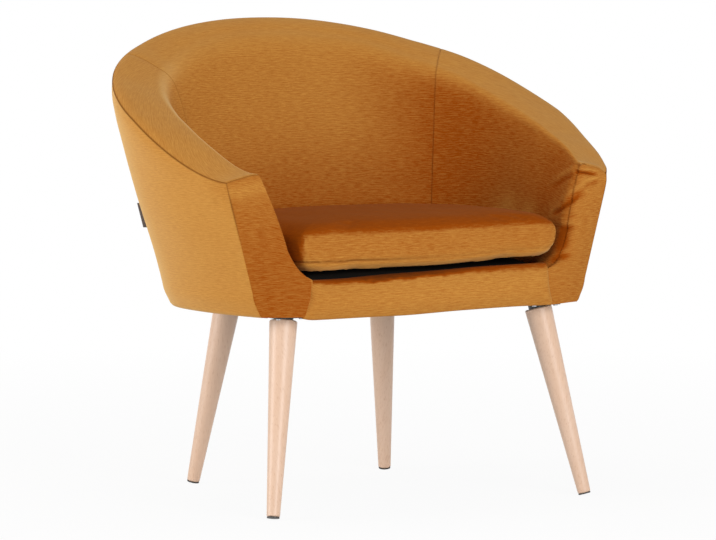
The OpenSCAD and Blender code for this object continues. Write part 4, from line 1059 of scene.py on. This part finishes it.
class CHAIR_OT_seat_cushion(Piece, bpy.types.Operator):
    """Loose cushion, filled until its cover swells, with a seam low on its front and gathered front corners."""

    bl_idname = "chair.seat_cushion"
    bl_label = "Seat cushion"

    # Bow of the front, radius of its corners, how far the filling presses its sides out, and room for its swell
    bow, corner_r, press, fill_room = 0.007, 0.009, 0.004, 0.0035
    # Depth and width of the seam, depth and reach of the gathers at the front corners
    seam_deep, seam_w, gather_deep, gather_reach = 0.0010, 0.0014, 0.0013, 0.014
    # Channel of the zip: its reach past the tape, the width of its slope and its height over the tape
    channel_reach, channel_slope, channel_room = 0.006, 0.004, 0.0004
    # The filling: size of the even mesh, pressure, quality and number of frames
    mesh_size, pressure, quality, frames = 0.006, 4.0, 5, 20

    def execute(self, context):
        wall = Wall()
        t, c = wall.t, values("cushion")
        low = t.deck_h + t.deck_crown + 0.0006
        seam_z = low + c.seam_h
        front = wall.front_y + self.bow
        half = wall.side_x(wall.inner(-1, seam_z)) + self.press - c.tip_gap
        corner_r = self.corner_r
        corner = np.array([half - corner_r, front + corner_r])
        side = [wall.place(s, wall.inner(-abs(s), seam_z) - c.gap, seam_z)[:2] for s in np.linspace(0.8, -0.8, 17)]
        turns = [math.radians(d) for d in (-75, -40, -5)]
        right = [corner + corner_r * np.array([math.cos(d), math.sin(d)]) for d in turns]
        left = [p * (-1, 1) for p in reversed(right)]
        fronts = [np.array([k * corner[0], front - self.bow * (1 - k * k)]) for k in (-0.6, -0.2, 0.2, 0.6)]
        outline = closed_line(side + left + fronts + right, 176)
        middle = np.array([0, wall.front_y + t.depth * 0.4])
        under = [(0.02, 0), (0.2, 0), (0.4, 0), (0.6, 0), (0.75, 0), (0.86, 0)]
        under += [(0.905, 0.0014), (0.945, 0.0052), (0.968, 0.0102), (0.976, c.seam_h)]
        over = [(0.986, 0.021), (0.996, 0.029), (1.0, 0.038), (0.999, 0.047), (0.992, 0.055), (0.975, 0.0615)]
        over += [(0.945, c.edge_h), (0.90, 0.0682), (0.85, 0.0695), (0.79, 0.0706), (0.72, 0.0716), (0.64, 0.0727)]
        over += [(0.55, 0.0737), (0.45, 0.0746), (0.34, 0.0753), (0.23, 0.0757), (0.12, 0.0759), (0.03, c.crown_h)]
        inset = self.fill_room
        profile = [(k - inset / half * (k > 0.5), low + z - inset * 0.7 * (z > 0.05)) for k, z in under + over]
        bm = ringed(outline, middle, profile, closed_foot=True)
        piece = velvet_piece(bm, "seat_cushion", "cushion", 0)
        self.fill(piece, c.swell)
        mesh = piece.data
        bm = bmesh.new()
        bm.from_mesh(mesh)
        bmesh.ops.subdivide_edges(bm, edges=bm.edges[:], cuts=1, use_grid_fill=True, smooth=0.6)
        uv = bm.loops.layers.uv.new("cloth")
        seam, lie_and_shading = bm.verts.layers.float.new("seam"), bm.verts.layers.float.new("nap_and_shading")
        bm.normal_update()
        points = np.array([v.co for v in bm.verts])
        normals = np.array([v.normal for v in bm.verts])
        outer = np.linalg.norm((points[:, :2] - middle) / (0.25, 0.2), axis=1)
        at_seam = np.exp(-(((points[:, 2] - seam_z) / self.seam_w) ** 2)) * (outer > 0.8)
        push = -self.seam_deep * at_seam + lumps(points, 0.07, 0.0018, 4.0) * (points[:, 2] > low + 0.03)
        corners = 0
        for x in (-half + 0.005, half - 0.005):
            away = np.sum((points[:, :2] - (x, front + 0.006)) ** 2, axis=1)
            corners += np.exp(-away / self.gather_reach**2) * (points[:, 2] > seam_z)
        gathers = lumps(points * (1, 1, 0.35), 0.0045, 1.0, 2.0)
        points += normals * (push + self.gather_deep * corners * gathers)[:, None]
        rise = np.array([ease(0.0, 0.2, x) for x in points[:, 0]]) * np.clip((outer - 0.5) / 0.4, 0, 1)
        lift = share(0.008, 0.003, np.clip((points[:, 2] - low) / 0.06, 0, 1))
        points[:, 2] = np.maximum(points[:, 2], low) + rise * lift
        tape_low, tape_high = (np.array(v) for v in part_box("cushion_zip"))
        within = np.minimum(points - tape_low, tape_high - points)[:, :2].min(axis=1)
        channel = np.clip((within + self.channel_reach) / self.channel_slope, 0, 1) * (points[:, 2] < seam_z)
        points[:, 2] = np.maximum(points[:, 2], share(points[:, 2], tape_high[2] + self.channel_room, channel))
        for v, p, normal, near, gather in zip(bm.verts, points, normals, at_seam, corners * (0.12 + gathers)):
            v.co = p
            # The seam darkens more on the left half. Painted shade on the top and on the ends that face the arms,
            # painted light on the underside, and painted highlights on the gathers
            v[seam] = near * share(0.2, 0.8, ease(0.05, -0.10, p[0]))
            v[lie_and_shading] = share(0.45, -0.14, ease(0.35, 0.85, normal[2])) + 0.45 * gather
            v[lie_and_shading] += 0.30 * ease(0.1, 0.7, -normal[2])
            v[lie_and_shading] -= 0.75 * ease(0.6, 0.95, -normal[0]) + 0.4 * ease(0.75, 0.98, normal[0])
        for face in bm.faces:
            face.smooth = True
            level = abs(face.normal.z) > 0.7
            for loop in face.loops:
                x, y, z = loop.vert.co
                loop[uv].uv = (x + 0.31, y) if level else (x + math.copysign(y - front, x), z)
        bm.to_mesh(mesh)
        bm.free()
        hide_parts("cushion_core", "cushion_top_cover", "cushion_bottom_cover")
        return {"FINISHED"}

    def fill(self, piece, swell):
        """Blows the cover up like a filled cushion, and keeps every point within the swell."""
        scene = bpy.context.scene
        remesh = piece.modifiers.new("Remesh", "REMESH")
        remesh.mode, remesh.voxel_size, remesh.use_smooth_shade = "VOXEL", self.mesh_size, True
        graph = bpy.context.evaluated_depsgraph_get()
        even = bpy.data.meshes.new_from_object(piece.evaluated_get(graph))
        piece.modifiers.remove(remesh)
        finish = piece.data.materials[0]
        piece.data = even
        even.materials.clear()
        even.materials.append(finish)
        start = np.array([v.co for v in even.vertices])
        cloth = piece.modifiers.new("Cloth", "CLOTH")
        cloth.settings.quality = self.quality
        cloth.settings.use_pressure = True
        cloth.settings.uniform_pressure_force = self.pressure
        cloth.settings.effector_weights.gravity = 0
        cloth.point_cache.frame_start, cloth.point_cache.frame_end = 1, self.frames
        for n in range(1, self.frames + 1):
            scene.frame_set(n)
        shaped = piece.evaluated_get(bpy.context.evaluated_depsgraph_get())
        moved = np.array([v.co for v in shaped.data.vertices]) - start
        piece.modifiers.remove(cloth)
        scene.frame_set(1)
        size = np.linalg.norm(moved, axis=1, keepdims=True)
        moved *= np.minimum(1, swell / np.maximum(size, 1e-9))
        moved[start[:, 2] < start[:, 2].min() + 0.002] *= (1, 1, 0)
        even.vertices.foreach_set("co", (start + moved).astype(np.float32).ravel())
        even.update()


def lining_piece(name, outline, middle, profile, thick, down=False):
    """A cloth stretched over an outline, and its area. Its map lies flat over it, in metres."""
    bm = ringed(outline, middle, profile)
    if down:
        bmesh.ops.reverse_faces(bm, faces=bm.faces[:])
    uv = bm.loops.layers.uv.new("cloth")
    for face in bm.faces:
        for loop in face.loops:
            loop[uv].uv = loop.vert.co.xy
    area = sum(f.calc_area() for f in bm.faces)
    return finish_piece(bm, name, "chair", made("lining", lining), thick), area


class CHAIR_OT_linings(Piece, bpy.types.Operator):
    """Black cloth over the seat deck and under the base, and the staples of the latter."""

    bl_idname = "chair.linings"
    bl_label = "Linings"

    # Number of staples, size of one, and the share of the way to the base's edge at which they sit
    staples, staple, staple_share = 44, (0.010, 0.0011, 0.0006), 0.972

    def execute(self, context):
        wall = Wall()
        t = wall.t
        seam_y = wall.arm_front_y - t.arm_toe
        middle = np.array([0, 0.012])

        def round_wall(off, z, front, arm, half):
            """Outline inside the wall's foot, stepped in front of the arms."""
            side = [wall.place(i / 40, off(abs(i) / 40), z)[:2] for i in range(39, -40, -1)]
            edge = [[-half - 0.008, arm], [-half, front], [half, front], [half + 0.008, arm]]
            return closed_line([np.array(p) for p in (*side, *edge)], 240, smooth=False)

        deck = round_wall(
            lambda a: wall.inner(a, t.deck_h) - 0.0006, t.deck_h, seam_y + 0.012, wall.arm_front_y + 0.02,
            wall.border_half_w - 0.001,
        )
        crown = [(1, 0), (0.97, 0.3), (0.94, 0.55), (0.89, 0.78), (0.84, 0.92), (0.78, 0.985)]
        crown += [(k, 1) for k in (0.68, 0.55, 0.42, 0.3, 0.18, 0.08)]
        profile = [(k, t.deck_h + t.deck_crown * c - 0.0004) for k, c in crown]
        piece, area = lining_piece("deck_lining", deck, middle, profile, DECK_CLOTH_T)
        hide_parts("deck_cloth", "deck_foam")

        base = round_wall(
            lambda a: -t.tuck - 0.005, t.bottom_h, seam_y + 0.006, wall.arm_front_y + 0.006,
            wall.border_half_w + 0.004,
        )
        sag = [(1, 0.0002), (0.995, 0.0008), (0.985, 0.0009), (0.975, 0.0006), (0.95, 0.0006)]
        shares = 0.88, 0.78, 0.64, 0.5, 0.36, 0.22, 0.1
        sag += [(k, 0.0006 + 0.0016 * math.cos(math.pi * k / 1.9) ** 2) for k in shares]
        profile = [(k, t.bottom_h - drop) for k, drop in sag]
        piece, area = lining_piece("base_lining", base, middle, profile, BASE_CLOTH_T, down=True)
        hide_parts("dust_cover")

        bm = bmesh.new()
        for i in range(self.staples):
            at = round(i * len(base) / self.staples)
            (x, y), (x2, y2) = (share(middle, base[(at + k) % len(base)], self.staple_share) for k in (0, 2))
            turn = Matrix.Rotation(math.atan2(y2 - y, x2 - x), 4, "Z")
            place = Matrix.Translation((x, y, t.bottom_h - 0.0012))
            bmesh.ops.create_cube(bm, size=1, matrix=place @ turn @ Matrix.Diagonal((*self.staple, 1)))
        bmesh.ops.bevel(bm, geom=bm.edges[:], offset=0.0002, segments=1, profile=0.5, affect="EDGES", material=-1)
        finish_piece(bm, "lining_staples", "chair", made("zinc", zinc), smooth=False)
        return {"FINISHED"}


class CHAIR_OT_side_tag(Piece, bpy.types.Operator):
    """Small blank loop of woven tape, caught in the left outside seam."""

    bl_idname = "chair.side_tag"
    bl_label = "Side tag"

    tall, wide, gap, above_knee = 0.038, 0.0060, 0.0006, 0.103

    def execute(self, context):
        wall = Wall()
        a = wall.outside_seam
        bm = bmesh.new()
        bmesh.ops.create_grid(bm, x_segments=14, y_segments=16, size=0.5)
        uv = bm.loops.layers.uv.new("cloth")
        middle_z = wall.t.knee_h + self.above_knee
        _, way = wall.knee(a)
        out = np.array([-way[0], way[1], 0])
        along_wall = np.array([-out[1], out[0], 0])
        spots = {v: (v.co.x + 0.5, v.co.y) for v in bm.verts}
        for face in bm.faces:
            for loop in face.loops:
                k, up = spots[loop.vert]
                loop[uv].uv = (k * 2 * self.wide, up * self.tall)
        for v, (k, up) in spots.items():
            z = middle_z + up * self.tall
            root = wall.place(-a, wall.outer(a, z) + wall.puff * 0.6, z)
            reach = self.wide * math.sin(math.pi * k) ** 0.6 - 0.002
            side = self.gap * math.cos(math.pi * k) + 0.0004 * math.sin(5 * up)
            v.co = root + out * reach + along_wall * side
        bmesh.ops.recalc_face_normals(bm, faces=bm.faces[:])
        piece = finish_piece(bm, "side_tag", "chair", made("tag_tape", tag_tape), TAPE_T)
        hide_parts("seam_tag")
        return {"FINISHED"}


class CHAIR_OT_zip_teeth(Piece, bpy.types.Operator):
    """Row of small moulded teeth along the zip under the cushion."""

    bl_idname = "chair.zip_teeth"
    bl_label = "Zip teeth"

    # Pitch of the teeth, bare ends of the tape, size of a tooth, its shift to either side and its drop
    pitch, end, tooth, shift, drop = 0.0026, 0.012, (0.0013, 0.0034, 0.0007), 0.0006, 0.0003

    def execute(self, context):
        low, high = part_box("cushion_zip")
        y, z = (low.y + high.y) / 2, low.z - self.drop
        bm = bmesh.new()
        for i in range(round((high.x - low.x - 2 * self.end) / self.pitch)):
            x = low.x + self.end + (i + 0.5) * self.pitch
            place = Matrix.Translation((x, y + self.shift * (-1) ** i, z))
            bmesh.ops.create_cube(bm, size=1, matrix=place @ Matrix.Diagonal((*self.tooth, 1)))
        finish_piece(bm, "zip_teeth", "cushion", made("zip_moulding", zip_moulding), smooth=False)
        return {"FINISHED"}


class CHAIR_OT_finishes(Piece, bpy.types.Operator):
    """Finishes of the wooden, steel, strap and plastic parts that come with the frame."""

    bl_idname = "chair.finishes"
    bl_label = "Frame finishes"

    def execute(self, context):
        simple = {
            "foot_glides": glide, "leg_plates": black_steel, "hanger_bolts": zinc, "plate_screws": zinc,
            "zip_slider": zinc, "cushion_zip": zip_tape, "base_ring": plywood, "front_rail": plywood,
            "arm_post": plywood, "rim_rail": plywood, "wall_ribs": plywood, "outer_board": fibreboard,
            "inner_board": fibreboard, "webbing": strap,
        }
        upright = beech_of((0.0, 0.0, 0.0))
        for node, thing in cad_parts.items():
            if thing.hide_render:
                continue
            pick = next(((v.__name__, v) for k, v in simple.items() if node.startswith(k)), ("beech", upright))
            if node.startswith("leg_") and node != "leg_plates":
                low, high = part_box(node)
                x = (low.x + high.x) / 2
                lean_x, lean_y = (math.atan2(high[k] - low[k] - 0.03, high.z - low.z) for k in (0, 1))
                turn = lean_y if "front" in node else -lean_y, -math.copysign(lean_x, x), 0.0
                pick = "beech_" + node, beech_of(turn)
            thing.data.materials.clear()
            thing.data.materials.append(made(*pick))
        return {"FINISHED"}


def aimed(thing, place, way):
    """Sets a lamp or a camera at its place, and turns it along a direction."""
    thing.location = place
    thing.rotation_mode = "QUATERNION"
    thing.rotation_quaternion = way.to_track_quat("-Z", "Y")


class CHAIR_OT_stage(Piece, bpy.types.Operator):
    """Pale floor, white surround, soft lamps and the camera."""

    bl_idname = "chair.stage"
    bl_label = "Stage"

    def execute(self, context):
        s, scene = values("stage"), context.scene
        bm = bmesh.new()
        bmesh.ops.create_grid(bm, x_segments=8, y_segments=8, size=s.floor_half)
        mesh = bpy.data.meshes.new("floor")
        bm.to_mesh(mesh)
        bm.free()
        net = Net(bpy.data.materials.new("floor"))
        mesh.materials.append(net.owner)
        floor = linked("floor", mesh)
        where = net.object_place()
        tint = net.mix(net.look.floor, tuple(c * 0.985 for c in net.look.floor), net.noise(where, 3.0))
        matt = net.add("ShaderNodeBsdfDiffuse", sockets={"Color": tint})
        glow = net.add("ShaderNodeEmission", sockets={"Color": (1, 1, 1, 1), "Strength": 1.0})
        reach = net.add("ShaderNodeVectorMath", {"operation": "LENGTH"}, {0: where}, output=1)
        white = 0.93 + ((reach - 0.35) * 0.5).clamped() * 0.07
        seen = net.in_view() * white.clamped()
        net.shown(net.add("ShaderNodeMixShader", sockets={0: seen, 1: matt, 2: glow}))

        scene.world = bpy.data.worlds.new("surround")
        net = Net(scene.world, "ShaderNodeOutputWorld")
        soft, white = (
            net.add("ShaderNodeBackground", sockets={"Color": (1, 1, 1, 1), "Strength": k}) for k in (0.32, 1.0)
        )
        net.shown(net.add("ShaderNodeMixShader", sockets={0: net.in_view(), 1: soft, 2: white}))

        for name, place, aim, size, power in (
            ("lamp_left", (-3.1, 0.8, 1.0), (0, 0, 0.45), 1.8, 54.0),
            ("lamp_front", (0.0, -3.9, 1.4), (0, 0, 0.45), 2.0, 88.0),
            ("lamp_top", (-0.2, 0.4, 3.0), (0, 0, 0.40), 1.6, 12.0),
        ):
            lamp = bpy.data.lights.new(name, "AREA")
            lamp.shape, lamp.size, lamp.energy = "SQUARE", size, power
            aimed(linked(name, lamp), place, Vector(aim) - Vector(place))

        eye = bpy.data.cameras.new("camera")
        eye.lens, eye.sensor_width, eye.clip_end = s.lens, 36.0, 100.0
        flat = math.cos(s.dip)
        way = Vector((math.sin(s.heading) * flat, math.cos(s.heading) * flat, -math.sin(s.dip)))
        scene.camera = linked("camera", eye)
        aimed(scene.camera, s.eye, way)
        scene.view_settings.view_transform = "Standard"
        return {"FINISHED"}


class CHAIR_PT_panel(bpy.types.Panel):
    """Lists the steps that dress the chair."""

    bl_idname = "CHAIR_PT_panel"
    bl_label = "Tub chair"
    bl_space_type = "VIEW_3D"
    bl_region_type = "UI"
    bl_category = "Tub chair"

    def draw(self, context):
        for step in STEPS:
            self.layout.operator(step.bl_idname)
        for group in GROUPS:
            box = self.layout.box()
            for name in GROUPS[group].__annotations__:
                box.prop(values(group), name)


STEPS = (
    CHAIR_OT_stage,
    CHAIR_OT_outside_covers,
    CHAIR_OT_inside_covers,
    CHAIR_OT_arm_fronts,
    CHAIR_OT_front_border,
    CHAIR_OT_seat_cushion,
    CHAIR_OT_linings,
    CHAIR_OT_side_tag,
    CHAIR_OT_zip_teeth,
    CHAIR_OT_finishes,
)


def register():
    for kind in (*GROUPS.values(), *STEPS, CHAIR_PT_panel):
        bpy.utils.register_class(kind)
    for group, kind in GROUPS.items():
        setattr(bpy.types.Scene, "chair_" + group, bpy.props.PointerProperty(type=kind))


def unregister():
    for group in GROUPS:
        delattr(bpy.types.Scene, "chair_" + group)
    for kind in reversed((*GROUPS.values(), *STEPS, CHAIR_PT_panel)):
        bpy.utils.unregister_class(kind)


def main():
    register()
    for step in STEPS:
        group, name = step.bl_idname.split(".")
        getattr(getattr(bpy.ops, group), name)()


if __name__ == "__main__":
    main()
